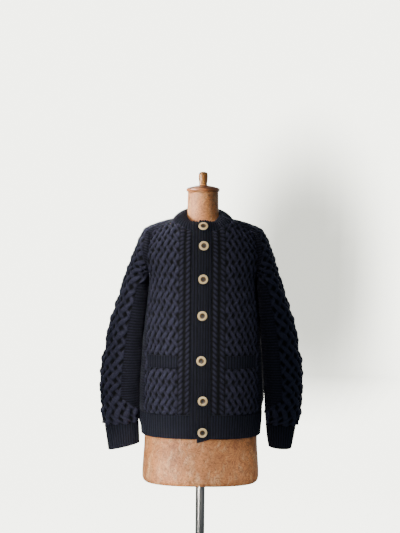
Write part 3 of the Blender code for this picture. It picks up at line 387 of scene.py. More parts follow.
# ---------------------------------------------------------------- relief of the knitting
def rounded(distance, radius):
    """How far a rounded edge lies below its surface: a quarter circle of that radius."""
    inside = np.clip(1 - distance / radius, 0, 1)
    return radius * (1 - np.sqrt(1 - inside**2))


def rounded_ends(along):
    """A ribbed tube's round lower edge, and the smaller rounding at its seam."""
    return rounded(along, RIM_ROUND) + rounded(along[-1] - along, JOIN_ROUND)


def strand(offset):
    """Cross-section of a round strand: sqrt(1 - r^2), nothing beyond its edge."""
    return np.sqrt(np.clip(1 - offset**2, 0, 1))


def wrapped(value, period):
    """The value less its nearest multiple of the period."""
    return value - period * np.round(value / period)


def uneven(lane, row):
    """Slow waves, within about one, that keep hand-worked strands from being all alike."""
    return 0.6 * np.sin(1.9 * row + 0.8 * lane) + 0.4 * np.sin(0.7 * row - 2.3 * lane + 1.0)


def lattice_relief(lane, row):
    """Plaited strands that lean both ways, two lanes apart: at each crossing one rides over and one dives.

    A strand is sqrt(1 - r^2) of its distance from lane - row = 2k or lane + row = 2k, the riding alternates with
    cos(pi row), and slow waves move and swell the strands a little.
    """
    over = STRAND_OVER * np.cos(math.pi * row)
    lane = lane + 0.17 * uneven(lane, row)
    rising = strand(wrapped(lane - row, 2.0) / STRAND_REACH)
    falling = strand(wrapped(lane + row, 2.0) / LEAD_REACH)
    up = STRAND * rising - over * (rising > 0)
    down = STRAND * STRAND_LEAD * falling + over * (falling > 0)
    return np.maximum(np.maximum(up, down), 0.0) * (1 + 0.14 * uneven(row, lane))


def rope_relief(across, along):
    """A two-strand rope: slanting beads cos(pi t)^1.2 on a round ridge sqrt(1 - u^2)."""
    turn = wrapped(along / ROPE_PERIOD + ROPE_SLANT * across, 1.0)
    bead = np.cos(math.pi * turn) ** 1.2
    return ROPE * strand(np.clip(across, -1, 1)) * (0.42 + 0.58 * bead)


def ridge_relief(along):
    """Reverse stocking stitch: low ridges across the piece, one for each row of stitches that shows."""
    return RIDGE * (0.5 + 0.5 * np.cos(2 * math.pi * along / RIDGE_PITCH))


def rib_relief(across, pitch):
    """Upright knit columns with narrow valleys: 1 - |2f - 1|^2.6 over each pitch."""
    share = np.mod(across / pitch, 1.0)
    return RIB * (1 - abs(2 * share - 1) ** 2.6)


def folds(across, up, creases):
    """Soft troughs (and ridges) along straight lines: depth x exp(-(distance / width)^2), fading at the ends."""
    total = np.zeros(np.shape(across))
    for x0, z0, x1, z1, width, depth in creases:
        length = math.hypot(x1 - x0, z1 - z0)
        ahead = ((across - x0) * (x1 - x0) + (up - z0) * (z1 - z0)) / length
        aside = ((across - x0) * (z1 - z0) - (up - z0) * (x1 - x0)) / length
        fade = ease(ahead / (0.35 * length) + 0.5) * ease((length - ahead) / (0.35 * length) + 0.5)
        total += depth * np.exp(-(aside / width) ** 2) * fade
    return total


# ---------------------------------------------------------------- meshes
def mesh_piece(name, points, groups, uv=None, values=None):
    """A mesh object from points and groups of equal-sided faces, all as whole arrays."""
    mesh = bpy.data.meshes.new(name)
    corners = np.concatenate([group.ravel() for group in groups]).astype(np.int32)
    sizes = np.concatenate([np.full(len(group), group.shape[1]) for group in groups])
    mesh.vertices.add(len(points))
    mesh.vertices.foreach_set("co", np.asarray(points, np.float32).ravel())
    mesh.loops.add(len(corners))
    mesh.loops.foreach_set("vertex_index", corners)
    mesh.polygons.add(len(sizes))
    mesh.polygons.foreach_set("loop_start", (np.cumsum(sizes) - sizes).astype(np.int32))
    if uv is not None:
        layer = mesh.uv_layers.new(name="metres")
        layer.data.foreach_set("uv", np.asarray(uv, np.float32)[corners].ravel())
    if values is not None:
        mesh.attributes.new("tone_and_painted_light", "FLOAT", "POINT").data.foreach_set("value", np.asarray(values, np.float32))
    mesh.update(calc_edges=True)
    mesh.validate()
    mesh.shade_smooth()
    piece = bpy.data.objects.new(name, mesh)
    bpy.context.scene.collection.objects.link(piece)
    return piece


def quads(numbers):
    """The four-sided faces of a grid of point numbers."""
    corners = [numbers[:-1, :-1], numbers[:-1, 1:], numbers[1:, 1:], numbers[1:, :-1]]
    return np.stack(corners, axis=-1).reshape(-1, 4)


def rim(outer, inner, nearest, forward):
    """Triangles between a fine edge and a sparse one, each fine point going to its nearest sparse point."""
    fans = np.stack([outer[:-1], outer[1:], inner[nearest[:-1]]], axis=1)
    step = np.flatnonzero(np.diff(nearest))
    fills = np.stack([outer[step + 1], inner[nearest[step + 1]], inner[nearest[step]]], axis=1)
    faces = np.concatenate([fans, fills])
    return faces if forward else faces[:, ::-1]


def sparse(count):
    """Rows or lanes that the inner skin keeps, and for each fine one the nearest of them."""
    kept = np.unique(np.linspace(0, count - 1, 2 + count // INNER_EVERY).round().astype(int))
    return kept, np.abs(np.arange(count)[:, None] - kept[None]).argmin(axis=1)


def shell(name, ground, normal, height, shade, wall=WALL, closed=False):
    """A closed knitted shell: fine outer skin at ground + height, sparse inner skin at ground - wall, and rims.

    The shade is 1 on top of a cable and 0 at the bottom of the hollow beside it.
    """
    if closed:
        ground, normal, height, shade = (np.concatenate([a, a[:, :1]], axis=1) for a in (ground, normal, height, shade))
    rows, lanes = height.shape
    outer = ground + normal * height[..., None]
    row_kept, row_near = sparse(rows)
    lane_kept, lane_near = sparse(lanes)
    inner = (ground - normal * wall)[np.ix_(row_kept, lane_kept)]
    across, along = grid_lengths(ground)
    uv = np.stack([across, along], axis=-1)
    numbers = np.arange(rows * lanes).reshape(rows, lanes)
    under = rows * lanes + np.arange(inner[..., 0].size).reshape(inner.shape[:2])
    if closed:
        numbers[:, -1] = numbers[:, 0]
        under[:, -1] = under[:, 0]
    edges = [rim(numbers[0], under[0], lane_near, False), rim(numbers[-1], under[-1], lane_near, True)]
    if not closed:
        edges += [rim(numbers[:, 0], under[:, 0], row_near, True), rim(numbers[:, -1], under[:, -1], row_near, False)]
    groups = [np.concatenate([quads(numbers), quads(under)[:, ::-1]]), np.concatenate(edges)]
    facing = np.cross(np.gradient(outer, axis=1), np.gradient(outer, axis=0))
    if np.sum(facing * normal) < 0:
        groups = [group[:, ::-1] for group in groups]
    points = np.concatenate([outer.reshape(-1, 3), inner.reshape(-1, 3)])
    uv = np.concatenate([uv.reshape(-1, 2), uv[np.ix_(row_kept, lane_kept)].reshape(-1, 2)])
    # the shade is painted into the yarn's colour, as painted shade in the hollows and painted highlight on the tops;
    # the inner skin takes a middle value
    values = np.concatenate([shade.ravel(), np.full(under.size, 0.5)])
    used = np.unique(np.concatenate([group.ravel() for group in groups]))
    place = np.zeros(len(points), int)
    place[used] = np.arange(len(used))
    return mesh_piece(name, points[used], [place[group] for group in groups], uv[used], values[used])


def skin(name, points):
    """A smooth closed skin from a grid of rings, capped by the middle of its first and last ring."""
    rows, lanes = points.shape[:2]
    numbers = np.arange(rows * lanes).reshape(rows, lanes)
    loop = np.concatenate([numbers, numbers[:, :1]], axis=1)
    low, high = rows * lanes, rows * lanes + 1
    caps = [np.stack([loop[0, 1:], loop[0, :-1], np.full(lanes, low)], axis=1),
            np.stack([loop[-1, :-1], loop[-1, 1:], np.full(lanes, high)], axis=1)]
    middle = np.stack([points[0].mean(axis=0), points[-1].mean(axis=0)])
    return mesh_piece(name, np.concatenate([points.reshape(-1, 3), middle]), [quads(loop), np.concatenate(caps)])


# ---------------------------------------------------------------- materials
BLENDED = {"output": "Result", "data_type": "RGBA"}    # a Mix node on colours


def linear(hex_colour):
    """An sRGB hex colour as linear red, green, blue and alpha."""
    parts = np.array([int(hex_colour[i:i + 2], 16) / 255 for i in (1, 3, 5)])
    low, high = parts / 12.92, ((parts + 0.055) / 1.055) ** 2.4
    return (*np.where(parts <= 0.04045, low, high).tolist(), 1.0)


def fill(tree, node, inputs):
    """Sets a node's own inputs, and links those whose value is another node's output."""
    for key, value in inputs.items():
        if isinstance(value, bpy.types.NodeSocket):
            tree.links.new(value, node.inputs[key])
        else:
            node.inputs[key].default_value = value


def add(tree, kind, inputs=None, output=0, **settings):
    """Adds one node with its settings, values and links, and gives one of its outputs."""
    made = tree.nodes.new(kind)
    for key, value in settings.items():
        setattr(made, key, value)
    fill(tree, made, inputs or {})
    return made.outputs[output]


def new_material(name):
    """An empty node material: its tree and its Principled shader."""
    made = bpy.data.materials.new(name)
    made.use_nodes = True
    return made, made.node_tree, made.node_tree.nodes["Principled BSDF"]


def worsted_wool(name, dark, light):
    """Worsted aran wool, spun tight: matte, with a faint fuzz that catches light, and stitches as small Vs."""
    made, tree, shader = new_material(name)
    wale, course = 0.0046, 0.0036        # one stitch across and up, in metres: the real gauge of aran yarn
    place = add(tree, "ShaderNodeUVMap", uv_map="metres")
    across, up = (add(tree, "ShaderNodeSeparateXYZ", {0: place}, output=axis) for axis in ("X", "Y"))
    column = add(tree, "ShaderNodeMath", {0: across, 1: wale}, operation="DIVIDE")
    column = add(tree, "ShaderNodeMath", {0: column, 1: 0.5}, operation="PINGPONG")
    rise = add(tree, "ShaderNodeMath", {0: column, 1: 1.7}, operation="MULTIPLY")
    stitch = add(tree, "ShaderNodeMath", {0: up, 1: course}, operation="DIVIDE")
    stitch = add(tree, "ShaderNodeMath", {0: stitch, 1: rise}, operation="ADD")
    stitch = add(tree, "ShaderNodeMath", {0: stitch, 1: 0.5}, operation="PINGPONG")
    bump = add(tree, "ShaderNodeMath", {0: stitch, 1: column}, operation="ADD")
    spot = add(tree, "ShaderNodeTexCoord", output="Object")
    # tufts of fibre 0.7 mm apart: coarser than real ones, so that they show
    fuzz = add(tree, "ShaderNodeTexNoise", {"Vector": spot, "Scale": 1400.0, "Detail": 2.0})
    bump = add(tree, "ShaderNodeMath", {0: fuzz, 1: 0.5, 2: bump}, operation="MULTIPLY_ADD")
    # paler and darker fibres in the yarn, which change every 4 mm
    heather = add(tree, "ShaderNodeTexNoise", {"Vector": spot, "Scale": 260.0, "Detail": 3.0})
    colour = add(tree, "ShaderNodeMix", {"Factor": heather, "A": linear(dark), "B": linear(light)}, **BLENDED)
    tone_and_painted_light = add(tree, "ShaderNodeAttribute", output="Fac", attribute_name="tone_and_painted_light")
    # painted shade and painted highlight: little light reaches the hollows between strands, so their colour is
    # darkened, and the tops of the strands are painted paler
    painted_shade_and_highlight = {"From Min": 0.36, "From Max": 1.05, "To Min": 0.03, "To Max": 1.45}
    depth = add(tree, "ShaderNodeMapRange", {"Value": tone_and_painted_light, **painted_shade_and_highlight})
    colour = add(tree, "ShaderNodeMix", {"Factor": 1.0, "A": colour, "B": depth}, **BLENDED, blend_type="MULTIPLY")
    fill(tree, shader, {
        "Base Color": colour,
        "Normal": add(tree, "ShaderNodeBump", {"Height": bump, "Strength": 0.55, "Distance": 0.0011}),
        "Roughness": 0.85,
        "Specular IOR Level": 0.25,
        "Sheen Weight": 0.06,
        "Sheen Roughness": 0.45,
        "Sheen Tint": linear("#aab0c8"),
    })
    return made


def horn_resin(name, rim_colour, dish_colour, dark_middle_and_hole_shade):
    """Polished horn-like resin: cream rim, brown dished middle that goes near-black at its centre, painted shade inside
    its holes, softly glossy.
    """
    made, tree, shader = new_material(name)
    spot = add(tree, "ShaderNodeTexCoord", output="Object")
    tone_and_painted_light = add(tree, "ShaderNodeAttribute", output="Fac", attribute_name="tone_and_painted_light")
    # cloudy streaks 3 mm apart that break up the edge between the rim and the dish
    streak = add(tree, "ShaderNodeTexNoise", {"Vector": spot, "Scale": 320.0, "Detail": 4.0, "Distortion": 1.2})
    zone = add(tree, "ShaderNodeMath", {0: streak, 1: 0.22, 2: tone_and_painted_light}, operation="MULTIPLY_ADD")
    colour = add(tree, "ShaderNodeValToRGB", {0: zone})
    marks = colour.node.color_ramp.elements
    marks[0].position, marks[1].position = 0.40, 0.95
    marks[0].color, marks[1].color = linear(dark_middle_and_hole_shade), linear(rim_colour)
    for position, between in ((0.50, dish_colour), (0.66, dish_colour), (0.80, rim_colour)):
        marks.new(position).color = linear(between)
    fill(tree, shader, {"Base Color": colour, "Roughness": 0.44, "IOR": 1.54})
    return made


def aged_papier_mache(name):
    """Layered paper and glue, varnished and worn: tan with darker stains, pale chipped flecks and fine crackle."""
    made, tree, shader = new_material(name)
    spot = add(tree, "ShaderNodeTexCoord", output="Object")
    wobble = add(tree, "ShaderNodeTexNoise", {"Vector": spot, "Scale": 26.0, "Detail": 3.0}, output="Color")
    bent = add(tree, "ShaderNodeVectorMath", {0: wobble, 1: (0.035, 0.035, 0.035), 2: spot}, operation="MULTIPLY_ADD")
    drawn = add(tree, "ShaderNodeMapping", {"Vector": bent, "Scale": (1.0, 1.0, 0.38)})
    colour = linear("#bd7741")
    layers = (                           # place, marks in a metre, detail, start, end, colour
        (spot, 9.0, 5.0, 0.44, 0.66, "#935b30"),       # broad stains of old varnish
        (drawn, 24.0, 7.0, 0.50, 0.70, "#6f4123"),     # runs of dirt, 40 mm apart
        (drawn, 70.0, 6.0, 0.52, 0.66, "#9c6438"),     # rubbed places, 14 mm
        (drawn, 60.0, 8.0, 0.50, 0.72, "#d2a673"),     # chips that show pale paper, 17 mm
        (bent, 210.0, 5.0, 0.47, 0.66, "#5e381e"),     # specks, 5 mm
    )
    for place, scale, detail, start, end, layer in layers:
        patch = add(tree, "ShaderNodeTexNoise", {"Vector": place, "Scale": scale, "Detail": detail, "Roughness": 0.68})
        patch = add(tree, "ShaderNodeMapRange", {"Value": patch, "From Min": start, "From Max": end, "To Max": 0.8})
        colour = add(tree, "ShaderNodeMix", {"Factor": patch, "A": colour, "B": linear(layer)}, **BLENDED)
    # crackle in the varnish, in cells of about 17 mm
    crackle = add(tree, "ShaderNodeTexVoronoi", {"Vector": bent, "Scale": 60.0}, feature="DISTANCE_TO_EDGE")
    crackle = add(tree, "ShaderNodeMapRange", {"Value": crackle, "From Max": 0.05, "To Min": 0.62, "To Max": 1.0})
    colour = add(tree, "ShaderNodeMix", {"Factor": 1.0, "A": colour, "B": crackle}, **BLENDED, blend_type="MULTIPLY")
    bump = add(tree, "ShaderNodeMath", {0: patch, 1: -0.4, 2: crackle}, operation="MULTIPLY_ADD")
    bump = add(tree, "ShaderNodeBump", {"Height": bump, "Strength": 0.4, "Distance": 0.0006})
    fill(tree, shader, {"Base Color": colour, "Normal": bump, "Roughness": 0.62})
    return made


def turned_hardwood(name, pale, deep):
    """Waxed turned hardwood: fine rings from the tool, long grain and a low polish."""
    made, tree, shader = new_material(name)
    spot = add(tree, "ShaderNodeTexCoord", output="Object")
    stretched = add(tree, "ShaderNodeMapping", {"Vector": spot, "Scale": (1.0, 1.0, 0.12)})
    # grain 2.4 mm wide, coarser than real so that it shows, and eight times as long
    grain = add(tree, "ShaderNodeTexNoise", {"Vector": stretched, "Scale": 420.0, "Detail": 5.0})
    colour = add(tree, "ShaderNodeMix", {"Factor": grain, "A": linear(pale), "B": linear(deep)}, **BLENDED)
    bump = add(tree, "ShaderNodeBump", {"Height": grain, "Strength": 0.25, "Distance": 0.0003})
    fill(tree, shader, {"Base Color": colour, "Normal": bump, "Roughness": 0.42})
    return made


def drawn_steel(name, colour, roughness):
    """Drawn steel tube: grey, with fine lines along its length."""
    made, tree, shader = new_material(name)
    spot = add(tree, "ShaderNodeTexCoord", output="Object")
    stretched = add(tree, "ShaderNodeMapping", {"Vector": spot, "Scale": (1.0, 1.0, 0.02)})
    # draw marks 1.1 mm apart, coarser than real so that they show
    lines = add(tree, "ShaderNodeTexNoise", {"Vector": stretched, "Scale": 900.0, "Detail": 3.0})
    rough = add(tree, "ShaderNodeMapRange", {"Value": lines, "To Min": roughness - 0.08, "To Max": roughness + 0.1})
    fill(tree, shader, {"Base Color": linear(colour), "Metallic": 1.0, "Roughness": rough})
    return made


def cast_iron(name, colour):
    """Grey painted cast iron: sand grit 1.4 mm apart in its skin, coarser than real so that it shows, and dull."""
    made, tree, shader = new_material(name)
    spot = add(tree, "ShaderNodeTexCoord", output="Object")
    grit = add(tree, "ShaderNodeTexNoise", {"Vector": spot, "Scale": 700.0, "Detail": 3.0})
    bump = add(tree, "ShaderNodeBump", {"Height": grit, "Strength": 0.3, "Distance": 0.0004})
    fill(tree, shader, {"Base Color": linear(colour), "Normal": bump, "Roughness": 0.55})
    return made


def lit_backdrop_paint(name, colour, bare):
    """Matte backdrop paint, evenly lit: it glows by each point's own share, and darker where painted shade and a
    painted shadow are.
    """
    made, tree, shader = new_material(name)
    glow = add(tree, "ShaderNodeAttribute", output="Fac", attribute_name="tone_and_painted_light")
    fill(tree, shader, {"Base Color": linear(bare), "Emission Color": linear(colour), "Emission Strength": glow,
                        "Roughness": 0.95})
    return made


KNIT = worsted_wool("worsted wool, cabled", "#0e0d15", "#343343")
# the same yarn as the cabled pieces with darker colours: painted shade of the deep valleys between ribs
RIB_WOOL_PAINTED_DARKER = worsted_wool("worsted wool, ribbed, painted darker", "#0d0e17", "#191a26")
HORN = horn_resin("horn resin", "#d9bb84", "#54370f", "#0b0703")
PAPER = aged_papier_mache("aged papier-mache")
WOOD = turned_hardwood("turned hardwood", "#c07c38", "#945a24")
CAP_WOOD = turned_hardwood("turned hardwood, worn", "#b36c3b", "#7d4826")
STEEL = drawn_steel("drawn steel", "#98938c", 0.34)
IRON = cast_iron("cast iron", "#8e908e")


def wear(piece, node, material):
    """Gives a finished piece its material, hangs it under the root body and hides the CAD part of its node."""
    piece.data.materials.append(material)
    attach(piece, "root")
    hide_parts(node)


def knitted(node, slot, surface, flat, area=None, rests_on="form_torso", flip=False, **wall):
    """Makes a knitted piece from its ground, normals, heights and shade, and gives it its yarn; the cut size is not
    used.
    """
    ground, normal, height, shade = surface
    if flip:
        ground, normal = mirrored(ground), mirrored(normal)
    piece = shell(node + "_knit", ground, normal, height, shade, **wall)
    wear(piece, node, KNIT if slot == "knit" else RIB_WOOL_PAINTED_DARKER)


# ---------------------------------------------------------------- body pieces
# Soft creases: start (across, up), end (across, up), width and depth, in metres.
FRONT_FOLDS = (
    (0.160, 1.075, 0.118, 1.035, 0.010, -0.0030),
    (0.164, 1.045, 0.128, 1.008, 0.010, 0.0022),
    (0.163, 1.030, 0.132, 0.995, 0.008, -0.0026),
    (0.150, 1.235, 0.085, 1.215, 0.016, -0.0030),
    (0.150, 1.205, 0.100, 1.150, 0.014, -0.0024),
)
BACK_FOLDS = (
    (-0.120, 1.300, -0.060, 1.180, 0.018, -0.0035),
    (0.120, 1.290, 0.050, 1.170, 0.018, -0.0035),
    (-0.140, 1.060, 0.020, 1.030, 0.020, -0.0030),
    (0.145, 1.020, -0.010, 0.985, 0.018, -0.0026),
)


def rope_centres(start):
    """Centres and half width of the two ropes between the given distance and the lattice."""
    step = (LATTICE_START - start) / 6
    return start + 1.5 * step, start + 4.5 * step, 1.20 * step


def panel_relief(lane, row, start, pocket):
    """Height and shade of a half panel: ropes, lattice and reverse stocking stitch side by side."""
    along = row * ROW
    near, far, half = rope_centres(start)
    height = rope_relief((lane - near) / half, along) * (abs(lane - near) < half)
    height += rope_relief((lane - far) / half, along + ROPE_PERIOD / 2) * (abs(lane - far) < half)
    number = (lane - LATTICE_START) / LATTICE_PITCH
    held = np.clip(number, 0.2, LATTICE_REACH - 0.2)
    edge = ease((number + 0.45) / 0.5) * ease((LATTICE_REACH + 0.45 - number) / 0.5)
    height += lattice_relief(held, row) * edge
    if start == BACK_LATTICE:
        held = np.clip(lane / LATTICE_PITCH, 0, 3.7)
        height += lattice_relief(held, row) * ease((start / LATTICE_PITCH + 0.30 - lane / LATTICE_PITCH) / 0.5)
    plain = ease((number - LATTICE_REACH) / 0.5)
    shade = np.maximum(height / (STRAND * STRAND_LEAD), (0.35 + 0.40 * ridge_relief(along) / RIDGE) * plain)
    height += ridge_relief(along) * plain
    if not pocket:
        return height, shade
    covered = ease((number + 0.2) / 0.3) * ease((LATTICE_LANES + 0.2 - number) / 0.3)
    covered = covered * ease((POCKET_TOP_ROW + 0.1 - row) / 0.3)
    return height * (1 - covered), shade * (1 - covered)


def side_fold(to_side, z, end):
    """The soft fold that the back makes behind a side seam, from the armpit down to the given height."""
    under_arm = ease((1.262 - z) / 0.03) * ease((z - end) / 0.03)
    return SIDE_FOLD * np.exp(-((to_side - SIDE_FOLD_AT) / SIDE_FOLD_WIDTH) ** 2) * under_arm


def half_panel(face, start, pocket, creases, flip=False):
    """Ground, normals, heights and shade of a half panel for +X, with its creases pressed into the ground."""
    lanes = steps(start, LATTICE_END)
    rows = steps(0, TOP_ROW, FINE / ROW)
    ground = body_grid(face, lanes, rows)
    normal = grid_normals(ground) * (-1 if face == "back" else 1)
    normal[rows <= ARMPIT_ROW, -1] = (1.0, 0.0, 0.0)
    across = grid_lengths(ground)[0]
    beyond = LATTICE_END + across[:, len(lanes):] - across[:, len(lanes) - 1:len(lanes)]
    lane = np.concatenate([np.tile(lanes, (len(rows), 1)), beyond], axis=1)
    row = rows[:, None] + 0 * lane
    height, shade = panel_relief(lane, row, BACK_LATTICE if face == "back" else start, pocket)
    to_side = across[:, -1:] - across
    to_end = np.minimum(rows, TOP_ROW - rows)[:, None] * ROW
    fade = ease(to_end / 0.004) * ease(to_side / 0.005)
    height = height * fade - rounded(to_end, END_ROUND) - rounded(to_side, SIDE_ROUND)
    place = ground[..., 0] * (-1 if flip else 1)
    press = folds(place, ground[..., 2], creases) * ease(to_end / 0.03) * ease(to_side / 0.02)
    if face == "back":
        press += side_fold(to_side, ground[..., 2], SIDE_FOLD_END["left" if flip else "right"])
    return ground + normal * press[..., None], normal, height, shade * (0.25 + 0.75 * fade)


def make_front(side):
    """One front panel: ropes beside the band, lattice, and plain reverse stitch towards the side seam."""
    ground, normal, height, shade = half_panel("front", BAND_EDGE[side], True, FRONT_FOLDS)
    height -= rounded(np.arange(height.shape[1]) * FINE, JOIN_ROUND)[None]
    knitted("front_" + side, "knit", (ground, normal, height, shade), (0.215, 0.575), 0.099, flip=side == "left")


def make_back():
    """The back panel: a narrow lattice up the middle, then ropes, lattice and plain stitch to each side."""
    left, right = (half_panel("back", 0.0, False, BACK_FOLDS, flip) for flip in (True, False))
    left = (mirrored(left[0]), mirrored(left[1]), *left[2:])
    surface = [np.concatenate([far[:, :0:-1], near], axis=1) for far, near in zip(left, right)]
    knitted("back", "knit", surface, (0.430, 0.600), 0.228)


def welt_grid(face, side, start):
    """Ground of a half welt from the hem up to its seam, along lines of equal share round the body."""
    levels = steps(HEM_Z, WELT_Z)
    shares = steps(0, 1, RIB_STEP / HALF_WELT)
    rings = [half_ring(z, face) for z in levels]
    grid = np.array([resample(ring, start + (lengths_along(ring)[-1] - start) * shares) for ring in rings])
    return mirrored(grid) if side == "left" else grid


def make_welt(name, face, halves):
    """A ribbed hem welt: upright ribs, a rounded lower edge and a seam at the top."""
    grids = [welt_grid(face, side, start) for side, start in halves]
    ground = grids[0] if len(grids) == 1 else np.concatenate([grids[0][:, :0:-1], grids[1]], axis=1)
    normal = unit(ground * np.array([1.0, 1.0, 0.0]))
    across, along = grid_lengths(ground)
    ribs = rib_relief(across[-1][None] + 0 * along, RIB_PITCH)
    height = ribs - RIB * 0.5 - rounded_ends(along)
    if face == "back":
        fold = side_fold(across, ground[..., 2], SIDE_FOLD_END["left"])
        fold += side_fold(across[:, -1:] - across, ground[..., 2], SIDE_FOLD_END["right"])
        ground = ground + normal * fold[..., None]
    width = float(across[-1, -1])
    knitted(name, "rib", (ground, normal, height, ribs / RIB), (round(width * 0.98, 3), 0.070), wall=RIB_WALL)


# ---------------------------------------------------------------- sleeves
SLEEVE_FOLDS = (
    (-0.045, 1.215, 0.030, 1.180, 0.014, -0.0035),
    (-0.055, 1.180, 0.020, 1.150, 0.013, -0.0030),
    (-0.050, 1.060, 0.035, 1.035, 0.013, -0.0028),
    (0.045, 1.080, -0.030, 1.045, 0.014, -0.0032),
    (0.050, 0.985, -0.025, 0.955, 0.013, -0.0030),
    (-0.055, 0.930, 0.020, 0.905, 0.011, -0.0034),
    (-0.050, 0.895, 0.030, 0.880, 0.009, -0.0030),
    (0.050, 0.905, -0.020, 0.880, 0.010, -0.0034),
)


def section(crest, front, back, depth, shares):
    """Part of an ellipse from the front edge over the crest to the back edge, at shares of its length."""
    middle = (front + back) / 2
    half = np.linalg.norm(front - back) / 2
    depth = max(depth, half * 1.02)
    opening = math.asin(half / depth)
    out = unit(crest - middle)
    reach = np.linalg.norm(crest - middle) / (1 + math.cos(opening))
    centre = middle + out * reach * math.cos(opening)
    ahead = unit(front - back) if half > 1e-6 else np.array([0.0, -1.0, 0.0])
    turn = np.linspace(opening, 2 * math.pi - opening, 361)[:, None]
    arc = centre - out * reach * np.cos(turn) + ahead * depth * np.sin(turn)
    return resample(arc, lengths_along(arc)[-1] * shares)


def hanging_section(sizes, share, shares):
    """A closed section of the sleeve or cuff: both edges meet at the inner point."""
    at = {name: float(smooth(sizes["share"], sizes[name], share)) for name in sizes}
    inner = np.array([at["inner_x"], -at["forward"], at["inner_z"]])
    crest = np.array([at["outer_x"], -at["forward"], at["outer_z"]])
    return section(crest, inner, inner, at["depth"], shares)


def armhole_edge(face):
    """The line that the sleeve is sewn to, from the armpit up the armhole and along the shoulder to the neck."""
    lanes = steps(NECK_CORNER, LATTICE_END, 0.0023)
    rows = steps(ARMPIT_ROW, TOP_ROW, 0.1)
    grid = body_grid(face, lanes, rows)
    return np.concatenate([grid[:, -1], grid[-1, :len(lanes)][::-1]])


def sleeve_grid(side, shares):
    """Ground of a sleeve for +X: closed sections up to the armpit, then sections from edge to edge."""
    hanging = steps(0, 1, FINE / (SLEEVE_HANG_ROWS * ROW))[:-1]
    rows = [hanging_section(SLEEVE[side], share, shares) for share in hanging]
    front, back = armhole_edge("front"), armhole_edge("back")
    climb = lengths_along(front)
    at = steps(0, climb[-1])
    front, back = resample(front, at), resample(back, at * lengths_along(back)[-1] / climb[-1])
    inner = np.array([SLEEVE[side]["inner_x"][-1], 0.0, SLEEVE[side]["inner_z"][-1]])
    settle = ease(at / 0.012)[:, None]
    front, back = inner + (front - inner) * settle, inner + (back - inner) * settle
    for i, share in enumerate(at / at[-1]):
        crest_at = {name: float(smooth(CREST["share"], CREST[name], share)) for name in CREST}
        x = crest_at["x"] + SHOULDER_OUT[side] * math.sin(math.pi * share)
        crest = np.array([x, (front[i, 1] + back[i, 1]) / 2, crest_at["z"]])
        rows.append(section(crest, front[i], back[i], crest_at["depth"], shares))
    numbers = np.concatenate([hanging * SLEEVE_HANG_ROWS, SLEEVE_HANG_ROWS + at / ROW])
    return np.array(rows), numbers, len(hanging)


def make_sleeve(side):
    """A sleeve with its saddle strap: lattice over the crest, and reverse stitch in narrow ridges underneath."""
    shares = steps(0, 1, 0.0019 / SLEEVE_GIRTH)
    ground, rows, armpit = sleeve_grid(side, shares)
    normal = grid_normals(ground)
    normal[:armpit + 1, [0, -1]] = (-1.0, 0.0, 0.0)
    girth = grid_lengths(ground)[0][:, -1:]
    lane = (shares[None] - 0.5) * girth / SLEEVE_LANE
    row = rows[:, None] + 0 * lane
    narrow = SLEEVE_LATTICE_REACH * girth
    wide = girth / 2 - 0.016
    cap = ease((rows - SLEEVE_HANG_ROWS + 2) / 3)[:, None]
    low = ease((4.5 - rows) / 3)[:, None]
    reach = (narrow + (wide - narrow) * np.maximum(cap, low)) / SLEEVE_LANE
    inside = ease((reach - abs(lane)) / 0.35)
    strands = lattice_relief(lane, row) * 1.12 * inside
    ridges = ridge_relief(row * ROW) * (1 - inside)
    height = strands + ridges
    shade = strands / (STRAND * STRAND_LEAD) + (0.40 + 0.40 * ridges / RIDGE) * (1 - inside)
    to_edge = np.minimum(shares, 1 - shares)[None] * girth
    to_end = np.minimum(rows, rows[-1] - rows)[:, None] * ROW
    climb = (rows - SLEEVE_HANG_ROWS) / (rows[-1] - SLEEVE_HANG_ROWS)
    strap = ease((climb - 0.62) / 0.16)[:, None]
    height = height * ease(to_edge / 0.006) * ease(to_end / (0.004 + 0.014 * strap)) * (1 - 0.5 * strap)
    height -= rounded(to_edge, SIDE_ROUND) + rounded(to_end, END_ROUND)
    press = folds(ground[..., 1], ground[..., 2], SLEEVE_FOLDS) * ease(to_edge / 0.03) * ease(to_end / 0.02)
    ground = ground + normal * press[..., None]
    # the strap's edges, and those up the armhole, go down and under the panel beside them
    for edge, beside in ((0, 1), (-1, -2)):
        outward = unit(ground[armpit + 2:, edge] - ground[armpit + 2:, beside])
        tuck = TUCK * (1 + 0.9 * strap[armpit + 2:])
        ground[armpit + 2:, edge] += (outward - normal[armpit + 2:, edge]) * tuck
    knitted("sleeve_" + side, "knit", (ground, normal, height, shade), (0.385, 0.720), 0.205, flip=side == "left")


def make_cuff(side):
    """A ribbed cuff, a flattened tube below the sleeve with a rounded lower edge."""
    shares = steps(0, 1, RIB_STEP / CUFF_GIRTH)[:-1]
    levels = steps(0, 1, FINE / CUFF_HEIGHT)
    ground = np.array([hanging_section(CUFF[side], share, shares) for share in levels])
    closed = np.concatenate([ground[:, -1:], ground, ground[:, :1]], axis=1)
    normal = unit(np.cross(closed[:, 2:] - closed[:, :-2], (ground[-1] - ground[0])[None]))
    middle = ground.mean(axis=1, keepdims=True)
    normal *= np.sign(np.sum(normal * (ground - middle), axis=-1, keepdims=True))
    girth = lengths_along(np.concatenate([ground[-1], ground[-1, :1]]))[-1]
    ribs = round(girth / RIB_PITCH)
    along = grid_lengths(ground)[1]
    ribs = rib_relief(shares[None] * ribs + 0 * along, 1.0)
    height = ribs - RIB * 0.5 - rounded_ends(along)
    knitted("cuff_" + side, "rib", (ground, normal, height, ribs / RIB), (round(girth, 3), 0.072),
            rests_on="sleeve_" + side, flip=side == "left", wall=RIB_WALL, closed=True)


